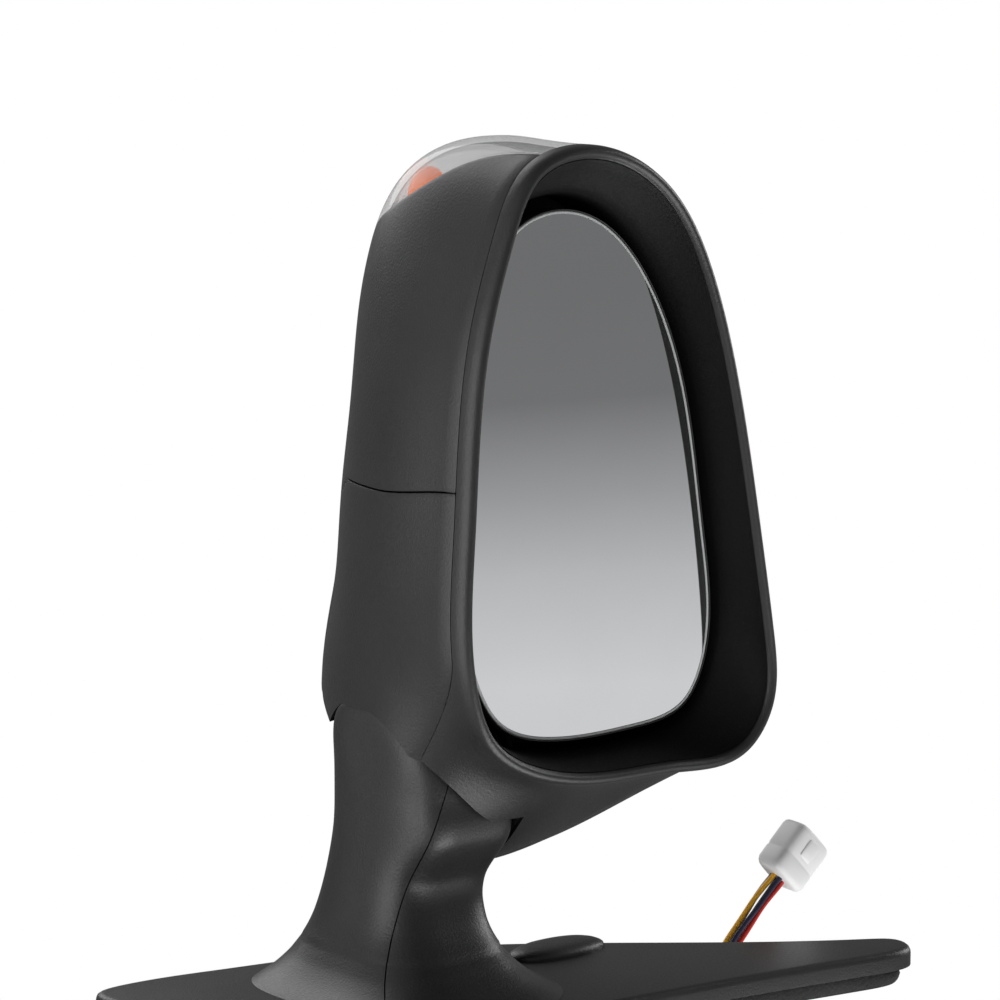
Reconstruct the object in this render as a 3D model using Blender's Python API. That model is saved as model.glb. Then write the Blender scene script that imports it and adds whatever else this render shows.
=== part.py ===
"""Left-hand car side mirror on a window-corner foot.

Frame: +Z is up on the car, +Y points to the front of the car and -X points outboard.
The door's mounting face is the plane x = 0 and the origin lies on the foot bracket's pad.
Dimensions below are in millimetres; MM turns them into metres when a mesh is made.
"""
import math

import bmesh
import bpy
import numpy as np
from mathutils import Vector

MM = 0.001
GAP = 0.35                    # clearance between neighbouring pieces

# Head: the closed outlines lie in planes of constant y, as (x, z).
RIM = [(-282, 24), (-279, 45), (-265, 66), (-241, 80.5), (-208, 91), (-156, 101), (-121, 107),
       (-99, 107), (-85, 96.5), (-80, 65), (-80, 36), (-85, 6), (-97, -13), (-116, -21.3),
       (-166, -22), (-222, -16.5), (-255, -6.5), (-275, 5)]
MIDDLE = [(-284, 26), (-275.5, 46), (-260, 62), (-241, 76), (-208, 86), (-156, 95), (-118, 99),
          (-93, 96), (-71, 86), (-54, 65), (-46, 41), (-46, 18), (-57, -3), (-82, -17), (-114, -22.5),
          (-166, -22.5), (-222, -16), (-257, -6), (-278, 7)]
GLASS = [(-261.5, 28), (-257.5, 45.6), (-235, 67.5), (-207, 79.5), (-155, 89.5), (-112, 91.5),
         (-99, 84.5), (-92.5, 60), (-92.5, 27), (-100, 4), (-113, -5.5), (-159, -12), (-220, -5.5),
         (-256, 11)]
SEAM_Y = -46.5                # seam between the bezel and the front shells
RIM_Y = -53.0                 # rearmost line of the rolled rim
FRONT_Y = 44.0                # front of the head at the pole
FRONT_SLOPE = 0.14            # the head is deeper towards the arm
POLE_X = -192.0               # where the front shell is most forward
POLE_Z = 38.0
MIDDLE_DEPTH = 0.42           # share of the head's depth at which the middle outline lies
SIDE_POWER = 2.6              # roundness of the shell's sections
END_POWER = 5.0               # the outboard and inboard ends are squarer
SHELL_WALL = 2.2
HEAD_COLUMNS = 72
HEAD_ROWS = 11
RIM_LENGTH = 560.0            # about the length round the rim
HEAD_DEPTH = 90.0             # about the depth of the front shells
SEAM_START = 0.004            # depth at which the front shells begin, past the seam's gap
CHEEK_DEPTH = 0.30            # how far forward the seam runs along the inboard face
HOOD_WALL = 1.5
HOOD_ROWS = (-43.0, -36.0, -30.0)
HOOD_CLEAR = 3.6              # gap between the hood and the glass unit
LIP_INSET = 4.9               # width of the rolled rim
ROLL = ((0.0, 0.15), (0.9, 0.62), (2.5, 0.97), (4.0, 0.8), (4.8, 0.35))      # inset, share of the rim's depth

# Glass unit
GLASS_Y = -36.0               # front edge of the mirror glass
GLASS_RADIUS = 1400.0
GLASS_THICK = 2.0
TILT_X = -172.0
TILT_Y = -24.0
TILT_Z = 42.0
SPINDLE_LEVER = 26.0
FRAME_Y = 15.0                # rear face of the head frame's plate

BULB_BASE = (-246.0, 20.0, 22.0)

# Fold joint and arm
FOLD_X = -77.0
NOSE_RADIUS = 29.0
NOSE_HALF = 21.3
NOSE_POWER = 2.8              # the arm's sections are round below
TOP_POWER = 6.0               # and nearly square above, at the nose
NECK_X = -50.0                # narrowest place of the arm
ARM_Z = -5.3
ARM_TOP = ARM_Z + NOSE_HALF
FOLD_CLEARANCE = 1.2
REAR_SPREAD = math.radians(105)     # how far the head reaches round the nose behind it
FRONT_SPREAD = math.radians(55)     # and in front of it
ARM_WALL = 2.4
ARM_ROOT_X = -13.0            # where the arm's covers meet the sail cover
WINDOW_INSET = 8.0            # the sail cover's opening lies this far inside the arm's root
COVER_SEAM_POINT = (-46.0, -18.0, -19.0)      # plane of the seam between the arm's two covers
COVER_SEAM_NORMAL = (0.33, -0.41, 0.85)
POST_RADIUS = 8.0

LEAD_Y = -41.0                # where the leads pass the foot bracket
LEAD_Z = 94.0

# Foot, outlined in planes of constant x as (y, z).
FOOT = [(-62, 154), (-54, 147), (-12, 92), (22, 47), (43, 5), (53, -40), (57.5, -74), (54, -88),
        (40, -90.5), (0, -81), (-44, -68), (-58, -54), (-60, -20), (-61.5, 30), (-66, 80), (-74, 135),
        (-71, 151)]
FOOT_MIDDLE = (-15.0, 15.0)
FOOT_OUTER_X = -12.0
FOOT_EDGE_X = -5.5


# ---------------------------------------------------------------- curves

def curve_slopes(knots, steps):
    """Tangents of the smooth periodic cubic through the knots."""
    count = len(steps)
    matrix = np.zeros((count, count))
    right = np.zeros((count, knots.shape[1]))
    for i in range(count):
        before = steps[i - 1]
        after = steps[i]
        matrix[i, i - 1] += 1 / before
        matrix[i, i] += 2 / before + 2 / after
        matrix[i, (i + 1) % count] += 1 / after
        right[i] += 3 * (knots[i] - knots[i - 1]) / before ** 2
        right[i] += 3 * (knots[(i + 1) % count] - knots[i]) / after ** 2
    return np.linalg.solve(matrix, right)


def smooth_loop(points, samples=720):
    """Evenly spaced points on the smooth closed curve through the given points."""
    knots = np.array(points, dtype=float)
    steps = np.linalg.norm(np.roll(knots, -1, axis=0) - knots, axis=1)
    slopes = curve_slopes(knots, steps)
    fine = []
    for i in range(len(knots)):
        j = (i + 1) % len(knots)
        for u in np.linspace(0, 1, 60, endpoint=False):
            h00 = 2 * u ** 3 - 3 * u ** 2 + 1
            h10 = u ** 3 - 2 * u ** 2 + u
            h01 = 3 * u ** 2 - 2 * u ** 3
            h11 = u ** 3 - u ** 2
            leave = h00 * knots[i] + h10 * steps[i] * slopes[i]
            arrive = h01 * knots[j] + h11 * steps[i] * slopes[j]
            fine.append(leave + arrive)
    fine.append(fine[0])
    fine = np.array(fine)
    run = np.concatenate(([0.0], np.cumsum(np.linalg.norm(np.diff(fine, axis=0), axis=1))))
    wanted = np.linspace(0, run[-1], samples, endpoint=False)
    return np.column_stack([np.interp(wanted, run, fine[:, 0]), np.interp(wanted, run, fine[:, 1])])


def on_loop(loop, t):
    """The loop's point at the fraction t of its length."""
    place = (t % 1.0) * len(loop)
    i = int(place) % len(loop)
    part = place - int(place)
    return loop[i] * (1 - part) + loop[(i + 1) % len(loop)] * part


def inward(loop, t):
    """Unit normal that points into a loop which runs clockwise as seen from behind."""
    ahead = on_loop(loop, t + 0.004) - on_loop(loop, t - 0.004)
    ahead = ahead / np.linalg.norm(ahead)
    return np.array([ahead[1], -ahead[0]])


def loop_inset(loop, t, inset):
    return on_loop(loop, t) + inward(loop, t) * inset


def place_of(loop, x, z):
    """Fraction of the loop's length at its point nearest to (x, z)."""
    gaps = np.linalg.norm(loop - np.array([x, z]), axis=1)
    return int(np.argmin(gaps)) / len(loop)


def smooth_step(u):
    u = min(max(u, 0.0), 1.0)
    return u * u * (3 - 2 * u)


def bump(u, centre, half_width):
    """Smooth hill of height 1 round centre, on the unit circle of loop fractions."""
    away = abs((u - centre + 0.5) % 1.0 - 0.5)
    return smooth_step(1 - away / half_width)


# ---------------------------------------------------------------- objects

def material(name, colour, roughness, metallic=0.0, transmission=0.0):
    made = bpy.data.materials.new(name)
    made.use_nodes = True
    shader = made.node_tree.nodes["Principled BSDF"]
    shader.inputs["Base Color"].default_value = (*colour, 1.0)
    shader.inputs["Roughness"].default_value = roughness
    shader.inputs["Metallic"].default_value = metallic
    shader.inputs["Transmission Weight"].default_value = transmission
    return made


def black_plastic():
    return material("satin_black_plastic", (0.018, 0.018, 0.019), 0.45)


def hidden_plastic():
    return material("inner_black_plastic", (0.012, 0.012, 0.012), 0.6)


def steel():
    return material("zinc_plated_steel", (0.55, 0.55, 0.53), 0.35, 1.0)


def add_mesh(name, points, faces, finish, pivot=(0, 0, 0), smooth=40):
    """Object from world points in millimetres, with its origin at the pivot."""
    mesh = bpy.data.meshes.new(name)
    shift = np.array(pivot, dtype=float)
    mesh.from_pydata([tuple((np.array(p, dtype=float) - shift) * MM) for p in points], [], faces)
    work = bmesh.new()
    work.from_mesh(mesh)
    bmesh.ops.remove_doubles(work, verts=work.verts, dist=1e-7)
    bmesh.ops.recalc_face_normals(work, faces=work.faces)
    work.to_mesh(mesh)
    work.free()
    mesh.shade_smooth()
    mesh.set_sharp_from_angle(angle=math.radians(smooth))
    mesh.materials.append(finish)
    made = bpy.data.objects.new(name, mesh)
    made.location = tuple(c * MM for c in pivot)
    bpy.context.scene.collection.objects.link(made)
    return made


def boolean(target, cutter, operation="DIFFERENCE"):
    """Cuts, joins or keeps the common part, and hides the tool object."""
    step = target.modifiers.new(operation.lower(), "BOOLEAN")
    step.operation = operation
    step.solver = "EXACT"
    step.object = cutter
    cutter.hide_render = True
    cutter.display_type = "WIRE"


def ring_faces(rows, columns, wrap_rows=False):
    """Quads over a grid whose columns close on themselves."""
    faces = []
    last = rows if wrap_rows else rows - 1
    for i in range(last):
        for j in range(columns):
            k = (j + 1) % columns
            n = (i + 1) % rows
            faces.append((i * columns + j, i * columns + k, n * columns + k, n * columns + j))
    return faces


def loft(name, rings, finish, pivot=(0, 0, 0), smooth=40):
    """Closed solid through rings of equal length, with flat ends."""
    columns = len(rings[0])
    points = [p for ring in rings for p in ring]
    faces = ring_faces(len(rings), columns)
    faces.append(tuple(range(columns)))
    faces.append(tuple(range(len(points) - columns, len(points))))
    return add_mesh(name, points, faces, finish, pivot, smooth)


def hoop(name, sections, finish, pivot=(0, 0, 0), smooth=40):
    """Closed ring-shaped solid: one closed profile per station, in order round the ring."""
    columns = len(sections[0])
    points = [p for section in sections for p in section]
    return add_mesh(name, points, ring_faces(len(sections), columns, True), finish, pivot, smooth)


def shell(name, outer, inner, keep, wrap, finish, pivot=(0, 0, 0), end_wall=True):
    """Closed shell between two grids of points, over the cells that keep(row, column) allows.

    Without an end wall the last row has to close on itself."""
    rows = len(outer)
    columns = len(outer[0])
    points = [p for row in outer for p in row] + [p for row in inner for p in row]
    far = rows * columns
    last = columns if wrap else columns - 1
    cells = {(i, j) for i in range(rows - 1) for j in range(last) if keep(i, j)}
    faces = []

    def index(i, j):
        return i * columns + j % columns

    def wall(a, b):
        faces.append((a, b, b + far, a + far))

    for i, j in sorted(cells):
        a, b, c, d = index(i, j), index(i, j + 1), index(i + 1, j + 1), index(i + 1, j)
        faces.append((a, b, c, d))
        faces.append((d + far, c + far, b + far, a + far))
        before = (i, (j - 1) % columns if wrap else j - 1)
        after = (i, (j + 1) % columns if wrap else j + 1)
        if (i - 1, j) not in cells:
            wall(b, a)
        if (i + 1, j) not in cells and (end_wall or i < rows - 2):
            wall(d, c)
        if before not in cells:
            wall(a, d)
        if after not in cells:
            wall(c, b)
    used = sorted({k for face in faces for k in face})
    fresh = {k: n for n, k in enumerate(used)}
    return add_mesh(name, [points[k] for k in used], [tuple(fresh[k] for k in f) for f in faces],
                    finish, pivot)


def circle(radius, count, start=0.0):
    return [(radius * math.cos(start + 2 * math.pi * k / count),
             radius * math.sin(start + 2 * math.pi * k / count)) for k in range(count)]


def rod(name, base, axis, profile, finish, count=24, pivot=None, smooth=40):
    """Turned solid along X, Y or Z; the profile lists (distance, radius)."""
    rings = []
    for along, radius in profile:
        ring = []
        for a, b in circle(radius, count):
            offset = {"X": (along, a, b), "Y": (a, along, b), "Z": (a, b, along)}[axis]
            ring.append(tuple(base[k] + offset[k] for k in range(3)))
        rings.append(ring)
    return loft(name, rings, finish, base if pivot is None else pivot, smooth)


def washer(name, base, axis, profile, finish, count=24, pivot=None):
    """Turned ring along X, Y or Z; the closed profile lists (distance, radius)."""
    stations = []
    for k in range(count):
        angle = 2 * math.pi * k / count
        section = []
        for along, radius in profile:
            a = radius * math.cos(angle)
            b = radius * math.sin(angle)
            offset = {"X": (along, a, b), "Y": (a, along, b), "Z": (a, b, along)}[axis]
            section.append(tuple(base[n] + offset[n] for n in range(3)))
        stations.append(section)
    return hoop(name, stations, finish, base if pivot is None else pivot)


def box(name, low, high, finish, pivot=(0, 0, 0)):
    x0, y0, z0 = low
    x1, y1, z1 = high
    rings = [[(x0, y0, z), (x1, y0, z), (x1, y1, z), (x0, y1, z)] for z in (z0, z1)]
    return loft(name, rings, finish, pivot)


# ---------------------------------------------------------------- head shells

RIM_LOOP = smooth_loop(RIM)
MIDDLE_LOOP = smooth_loop(MIDDLE)
GLASS_LOOP = smooth_loop(GLASS)
FOOT_LOOP = smooth_loop(FOOT)
HEAD_PIVOT = (FOLD_X, 0.0, ARM_TOP)
CHEEK = place_of(RIM_LOOP, -104, -17)         # underside of the rim, next to the nose
CROWN = place_of(RIM_LOOP, -99, 107)          # upper inboard corner of the rim
CHEEK_REACH = 0.075           # how far the cheek runs on round the rim
FLARE = place_of(RIM_LOOP, -84, 8)            # where the head widens towards the arm


def head_power(t):
    return SIDE_POWER + (END_POWER - SIDE_POWER) * math.cos(2 * math.pi * t) ** 4


def head_point(t, depth, inset=0.0):
    """Point of the head's skin: depth 0 is the seam plane and 1 the front of the head."""
    mix = smooth_step(depth / (MIDDLE_DEPTH - 0.15 * bump(t, FLARE, 0.11)))
    outline = loop_inset(RIM_LOOP, t, inset) * (1 - mix) + loop_inset(MIDDLE_LOOP, t, inset) * mix
    power = head_power(t)
    shrink = max(0.0, 1 - depth ** power) ** (1 / power)
    x = POLE_X + (outline[0] - POLE_X) * shrink
    z = POLE_Z + (outline[1] - POLE_Z) * shrink
    y = SEAM_Y + depth * (FRONT_Y + FRONT_SLOPE * (x - POLE_X) - inset - SEAM_Y)
    return (x, y, z)


def seam_depth(t):
    """The seam runs forward along the inboard face, so that the bezel meets the arm."""
    rise = smooth_step((t - CROWN) / 0.12)
    fall = smooth_step((CHEEK + CHEEK_REACH - t) / CHEEK_REACH)
    return CHEEK_DEPTH * rise * fall


def front_depth(row, rows, start):
    """Depth of a row of the front shells, closer together towards the front."""
    angle = row / rows * math.pi / 2
    return start + (1 - start) * math.sin(angle) ** 0.8


LENS_LOW = 0.045              # how far the lens reaches round the tip, as loop fractions
LENS_HIGH = 0.050
LENS_ROWS = (2, 8)            # rows of the front shells that the lens window spans
COVER_ROWS = 5                # rows that the lower cover spans
COVER_START = place_of(RIM_LOOP, -93, -8)
COVER_END = place_of(RIM_LOOP, -175, -21.5)


def head_column(column, row):
    """Loop fraction of a column; the columns at the lens window spread towards the front."""
    even = column / HEAD_COLUMNS
    spread = 0.035 * smooth_step((row - 1) / 6)
    away = (even + 0.5) % 1.0 - 0.5
    return even - spread * bump(even, -0.06, 0.14) * (1 if away < 0.02 else 0)


def column_at(t):
    return round(t * HEAD_COLUMNS)


LENS_COLUMNS = (HEAD_COLUMNS - column_at(LENS_LOW), column_at(LENS_HIGH))
COVER_COLUMNS = (column_at(COVER_START) + 1, column_at(COVER_END))
TRIM = 0.5                    # gap round a cover or lens in its window
CHEEK_COLUMNS = 3             # columns beside the lower cover that the swing room takes anyway


def front_grid(inset, rows=HEAD_ROWS):
    """Points of the front shells, row by row from the seam to the foremost point."""
    grid = []
    for row in range(rows + 1):
        line = []
        for column in range(HEAD_COLUMNS):
            t = head_column(column, row)
            start = seam_depth(t) + SEAM_START
            line.append(head_point(t, front_depth(row, rows, start), inset))
        grid.append(line)
    return grid


def in_lens(row, column):
    rows = LENS_ROWS[0] <= row < LENS_ROWS[1]
    return rows and (column >= LENS_COLUMNS[0] or column < LENS_COLUMNS[1])


def in_cover(row, column):
    return row < COVER_ROWS and COVER_COLUMNS[0] - CHEEK_COLUMNS <= column < COVER_COLUMNS[1]


def make_front_cap():
    def keep(row, column):
        return not in_lens(row, column) and not in_cover(row, column)
    return shell("front_cap", front_grid(0.0), front_grid(SHELL_WALL), keep, True,
                 black_plastic(), HEAD_PIVOT)


def patch_grid(columns, rows, trim, inset):
    """Points of the front shell's window between two columns and two rows, trimmed all round."""
    first, last = columns
    grid = []
    for row in range(rows[0], rows[1] + 1):
        line = []
        for column in range(first, last + 1):
            turn = (trim if column == first else 0) - (trim if column == last else 0)
            step = (trim if row == rows[0] else 0) - (trim if row == rows[1] else 0)
            t = head_column(column % HEAD_COLUMNS, row) + turn / RIM_LENGTH
            start = seam_depth(t) + SEAM_START
            depth = front_depth(row, HEAD_ROWS, start) + step / HEAD_DEPTH
            line.append(head_point(t, depth, inset))
        grid.append(line)
    return grid


def make_lower_cover():
    outer = patch_grid(COVER_COLUMNS, (0, COVER_ROWS), TRIM, 0.0)
    inner = patch_grid(COVER_COLUMNS, (0, COVER_ROWS), TRIM, SHELL_WALL)
    return shell("lower_cover", outer, inner, lambda i, j: True, False, black_plastic(), HEAD_PIVOT)


def lens_columns():
    return (LENS_COLUMNS[0], LENS_COLUMNS[1] + HEAD_COLUMNS)


LENS_WALL = 2.0
REFLECTOR_INSET = 14.0        # distance of the lamp's reflector behind the lens


def make_signal_lens():
    clear = material("clear_lens", (0.9, 0.92, 0.93), 0.05, 0.0, 0.9)
    outer = patch_grid(lens_columns(), LENS_ROWS, TRIM, 0.0)
    inner = patch_grid(lens_columns(), LENS_ROWS, TRIM, LENS_WALL)
    return shell("signal_lens", outer, inner, lambda i, j: True, False, clear, HEAD_PIVOT)


def make_signal_housing():
    grey = material("light_grey_reflector", (0.6, 0.6, 0.6), 0.3, 0.2)
    outer = patch_grid(lens_columns(), LENS_ROWS, 3 * TRIM, REFLECTOR_INSET)
    inner = patch_grid(lens_columns(), LENS_ROWS, 3 * TRIM, REFLECTOR_INSET + LENS_WALL)
    housing = shell("signal_housing", outer, inner, lambda i, j: True, False, grey, HEAD_PIVOT)
    hole = rod("bulb_hole", BULB_BASE, "X", [(20.0, 9.6), (-30.0, 9.6)], grey, 24)
    boolean(housing, hole)
    return housing


def hood_point(t, y, thick):
    """Point of the hood, which leads from the rim's lip to the edge of the glass unit."""
    share = smooth_step((y - RIM_Y) / (HOOD_ROWS[-1] - RIM_Y)) ** 0.8
    lip = loop_inset(RIM_LOOP, t, LIP_INSET - thick)
    end = loop_inset(GLASS_LOOP, t, -HOOD_CLEAR - thick)
    x, z = lip * (1 - share) + end * share
    return (x, y, z)


def make_bezel():
    """Rolled rim, hood round the glass and the skirt up to the seam, as one hoop."""
    reach = RIM_Y - SEAM_Y
    stations = []
    for column in range(HEAD_COLUMNS):
        t = column / HEAD_COLUMNS
        edge = seam_depth(t)
        section = [head_point(t, edge * share, 0.0) for share in (1.0, 0.5, 0.0)]
        for inset, part in ROLL:
            x, z = loop_inset(RIM_LOOP, t, inset)
            section.append((x, SEAM_Y + reach * part, z))
        section += [hood_point(t, y, 0.0) for y in HOOD_ROWS]
        section += [hood_point(t, y, HOOD_WALL) for y in reversed(HOOD_ROWS)]
        x, z = loop_inset(RIM_LOOP, t, LIP_INSET / 2)
        section.append((x, SEAM_Y + reach / 2, z))
        section += [head_point(t, edge * share, SHELL_WALL) for share in (0.0, 0.5, 1.0)]
        stations.append(section)
    return hoop("bezel", stations, black_plastic(), HEAD_PIVOT)


def nose_radius(z):
    """Radius of the arm's barrel-shaped nose at a height."""
    share = min(1.0, abs(z - ARM_Z) / NOSE_HALF)
    return NOSE_RADIUS * (1 - share ** NOSE_POWER) ** (1 / NOSE_POWER)


def make_swing_cutter():
    """Room for the nose and, inboard of it, for the arm when the head folds."""
    far = 150.0
    levels = [(ARM_Z - 3 * NOSE_HALF, 12.0)]
    for k in range(9):
        z = ARM_Z - NOSE_HALF * 0.97 * math.cos(k / 8 * math.pi / 2)
        levels.append((z, nose_radius(z) + FOLD_CLEARANCE))
    levels.append((ARM_TOP + 0.5, NOSE_RADIUS + FOLD_CLEARANCE))
    rings = []
    for z, radius in levels:
        ring = []
        for k in range(25):
            angle = -REAR_SPREAD + (REAR_SPREAD + FRONT_SPREAD) * k / 24
            ring.append((FOLD_X - radius * math.cos(angle), radius * math.sin(angle), z))
        for k in range(9):
            angle = FRONT_SPREAD + (2 * math.pi - FRONT_SPREAD - REAR_SPREAD) * k / 8
            ring.append((FOLD_X - far * math.cos(angle), far * math.sin(angle), z))
        rings.append(ring)
    return loft("swing_cutter", rings, hidden_plastic())


# ---------------------------------------------------------------- inside the head

def plate_xz(name, corners, y0, y1, finish, pivot):
    rings = [[(x, y, z) for x, z in corners] for y in (y0, y1)]
    return loft(name, rings, finish, pivot)


def rounded(corners, radius, steps=4):
    """Polygon with each corner replaced by an arc."""
    out = []
    count = len(corners)
    for i in range(count):
        corner = Vector(corners[i])
        before = (Vector(corners[i - 1]) - corner).normalized()
        after = (Vector(corners[(i + 1) % count]) - corner).normalized()
        half = before.angle(after) / 2
        run = radius / math.tan(half)
        start = corner + before * run
        end = corner + after * run
        for k in range(steps + 1):
            u = k / steps
            point = start * (1 - u) ** 2 + corner * 2 * u * (1 - u) + end * u ** 2
            out.append((point.x, point.y))
    return out


def make_head_frame():
    """Structural carrier: hub on the fold axis, web, and the plate that holds the adjuster."""
    grey = material("glass_filled_nylon", (0.03, 0.03, 0.032), 0.55)
    outline = rounded([(-222, 14), (-222, 66), (-150, 82), (-76, 60), (-76, 22), (-122, 20),
                       (-150, 2)], 8)
    plate = plate_xz("head_frame", outline, FRAME_Y, FRAME_Y + 3.0, grey, HEAD_PIVOT)
    hub = rod("frame_hub", (FOLD_X, 0, 0), "Z", [(19.8, 15.5), (34.0, 15.0)], grey)
    web = box("frame_web", (-90.0, 3.0, 21.0), (-74.0, FRAME_Y + 1.5, 33.0), grey)
    foot = box("frame_rib", (-120.0, 0.0, 26.0), (-84.0, FRAME_Y + 1.5, 30.0), grey)
    bore = rod("frame_bore", (FOLD_X, 0, 0), "Z", [(10.0, POST_RADIUS + GAP), (80.0, POST_RADIUS + GAP)],
               grey)
    boolean(plate, hub, "UNION")
    boolean(plate, web, "UNION")
    boolean(plate, foot, "UNION")
    boolean(plate, bore)
    return plate


def make_adjuster():
    """Two-motor glass adjuster: open case, lid, two motors and three screws."""
    dark = hidden_plastic()
    centre = (TILT_X, 0.0, TILT_Z)
    case_radius = 38.0
    back = FRAME_Y - GAP
    case = [(back, case_radius), (-13.0, case_radius), (-13.0, case_radius - 2.0),
            (back - 2.0, case_radius - 2.0)]
    rod("adjuster_case", centre, "Y", case, dark, 32, HEAD_PIVOT)
    lid = rod("adjuster_cover", centre, "Y", [(-13.4, case_radius), (-16.0, case_radius),
                                              (-16.0, 9.0), (-19.0, 8.0)], dark, 32, HEAD_PIVOT)
    for name, x, z in spindle_places():
        hole = rod("hole_" + name, (x, 0, z), "Y", [(-25.0, 3.6), (0.0, 3.6)], dark, 20)
        boolean(lid, hole)
    silver = material("motor_can", (0.5, 0.5, 0.5), 0.35, 1.0)
    for number, rise in ((1, -8.0), (2, 14.0)):
        rod("adjuster_motor_%d" % number, (TILT_X + 2.0, -0.5, TILT_Z + rise), "X",
            [(0, 3.0), (0, 7.4), (24.0, 7.4), (24.0, 3.0)], silver, 20, HEAD_PIVOT)


def spindle_places():
    """Name, x and z of the two spindles: one tilts the glass up and down, one side to side."""
    return [("spindle_vertical", TILT_X, TILT_Z - SPINDLE_LEVER),
            ("spindle_horizontal", TILT_X - SPINDLE_LEVER, TILT_Z)]


def make_spindles():
    white = material("white_acetal", (0.75, 0.75, 0.72), 0.4)
    for name, x, z in spindle_places():
        rod(name, (x, 0, z), "Y", [(-2.0, 3.0), (-25.5, 3.0), (-26.6, 2.6), (-27.4, 1.4)], white, 20)
        washer(name.replace("spindle", "drive_gear"), (x, 0, z), "Y",
               [(-4.0, 3.5), (-4.0, 8.6), (-9.0, 8.6), (-9.0, 3.5)], white, 24)


def make_case_screws():
    """Three screws that fix the adjuster's lid to its case."""
    finish = steel()
    for k in range(3):
        angle = math.radians(90 + 120 * k)
        base = (TILT_X + 29.0 * math.cos(angle), 0.0, TILT_Z + 29.0 * math.sin(angle))
        rod("adjuster_screw_%d" % (k + 1), base, "Y", [(-16.4, 3.0), (-17.6, 3.0), (-18.4, 1.8)],
            finish, 16, HEAD_PIVOT)


def make_signal_bulb():
    amber = material("amber_bulb", (0.85, 0.16, 0.02), 0.2)
    profile = [(-1.0, 4.4), (-8.0, 6.5), (-13.0, 6.0), (-16.0, 4.4), (-17.6, 1.6)]
    rod("signal_bulb", BULB_BASE, "X", profile, amber, 20, HEAD_PIVOT)


def make_bulb_socket():
    socket = material("socket_grey", (0.25, 0.25, 0.25), 0.5)
    base = (BULB_BASE[0] + 12.0, BULB_BASE[1], BULB_BASE[2])
    return rod("bulb_socket", base, "X", [(0.0, 9.0), (-4.0, 9.0), (-4.0, 7.0), (-12.0, 7.0)],
               socket, 20, HEAD_PIVOT)


# ---------------------------------------------------------------- glass unit

TILT_PIVOT = (TILT_X, TILT_Y, TILT_Z)


def glass_bow(x, z):
    """How far the convex glass stands proud of its edge, towards the rear."""
    reach = 88.0
    away = math.hypot(x - TILT_X, z - TILT_Z)
    return (reach ** 2 - min(away, reach) ** 2) / (2 * GLASS_RADIUS)


def dished(inset, y, shares=(1.0, 0.66, 0.33), columns=48):
    """Rings of a domed face inside the glass outline, from the edge to the centre."""
    rings = []
    for share in shares:
        ring = []
        for k in range(columns):
            x, z = loop_inset(GLASS_LOOP, k / columns, inset)
            x = TILT_X + (x - TILT_X) * share
            z = TILT_Z + (z - TILT_Z) * share
            ring.append((x, y - glass_bow(x, z), z))
        rings.append(ring)
    return rings


def make_mirror_glass():
    silver = material("mirror_silver", (0.8, 0.8, 0.8), 0.03, 1.0)
    rings = dished(1.3, GLASS_Y + GLASS_THICK)[::-1] + dished(1.3, GLASS_Y)
    return loft("mirror_glass", rings, silver, TILT_PIVOT)


def make_adhesive_pad():
    foam = material("foam_tape", (0.05, 0.05, 0.05), 0.9)
    back = GLASS_Y + GLASS_THICK + GAP
    rings = dished(7.0, back + 0.9)[::-1] + dished(7.0, back)
    return loft("adhesive_pad", rings, foam, TILT_PIVOT)


def make_glass_holder():
    """Tray round the glass with a thin bead, a floor and a central boss."""
    dark = hidden_plastic()
    floor = GLASS_Y + GLASS_THICK + GAP + 0.9 + GAP
    back = floor + 1.8
    edge = dished(0.0, GLASS_Y - 0.4, (1.0,))
    bead = dished(0.9, GLASS_Y - 0.4, (1.0,))
    rings = dished(0.6, back, (0.0001, 0.33, 0.66, 1.0)) + edge + bead
    rings = rings + dished(0.9, floor, (1.0, 0.66, 0.33, 0.0001))
    tray = loft("glass_holder", rings, dark, TILT_PIVOT)
    boss_start = back - glass_bow(TILT_X, TILT_Z) - 1.0
    boss = rod("holder_boss", (TILT_X, 0, TILT_Z), "Y", [(boss_start, 10.0), (-27.2, 9.0)], dark, 24)
    boolean(tray, boss, "UNION")
    return tray


def make_tilt_ring():
    dark = material("acetal_black", (0.03, 0.03, 0.03), 0.35)
    return washer("tilt_ring", (TILT_X, 0, TILT_Z), "Y",
                  [(-25.4, 7.5), (-25.4, 12.0), (-22.4, 12.0), (-22.4, 7.5)], dark, 28, TILT_PIVOT)


# ---------------------------------------------------------------- arm and foot

def arm_size(x):
    """Half depth, half height and centre (y, z) of the arm's section at a place along it."""
    places = (-77.0, -70.0, -64.0, -58.0, -48.0, -36.0, -24.0, -17.0, -13.0)
    halves = (29.0, 28.3, 26.0, 22.3, 20.5, 24.0, 33.5, 40.8, 46.0)
    heights = (21.3, 21.2, 21.0, 20.8, 20.4, 21.8, 26.0, 32.0, 38.0)
    y_shift = (0.0, 0.0, 1.0, 3.3, 4.5, 5.0, 5.5, 3.8, 2.0)
    z_shift = (0.0, 0.0, 0.0, 0.0, -0.4, -1.2, -3.0, -4.6, -6.0)
    return (np.interp(x, places, halves), np.interp(x, places, heights),
            np.interp(x, places, y_shift), ARM_Z + np.interp(x, places, z_shift))


def power_curve(angle, power):
    """Unit superellipse."""
    c = math.cos(angle)
    s = math.sin(angle)
    return (math.copysign(abs(c) ** (2 / power), c), math.copysign(abs(s) ** (2 / power), s))


def arm_curve(angle, x):
    """Unit section of the arm at a place along it."""
    square = smooth_step((NECK_X - x) / 18.0)
    top = NOSE_POWER + (TOP_POWER - NOSE_POWER) * square
    return power_curve(angle, top if math.sin(angle) > 0 else NOSE_POWER)


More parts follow.
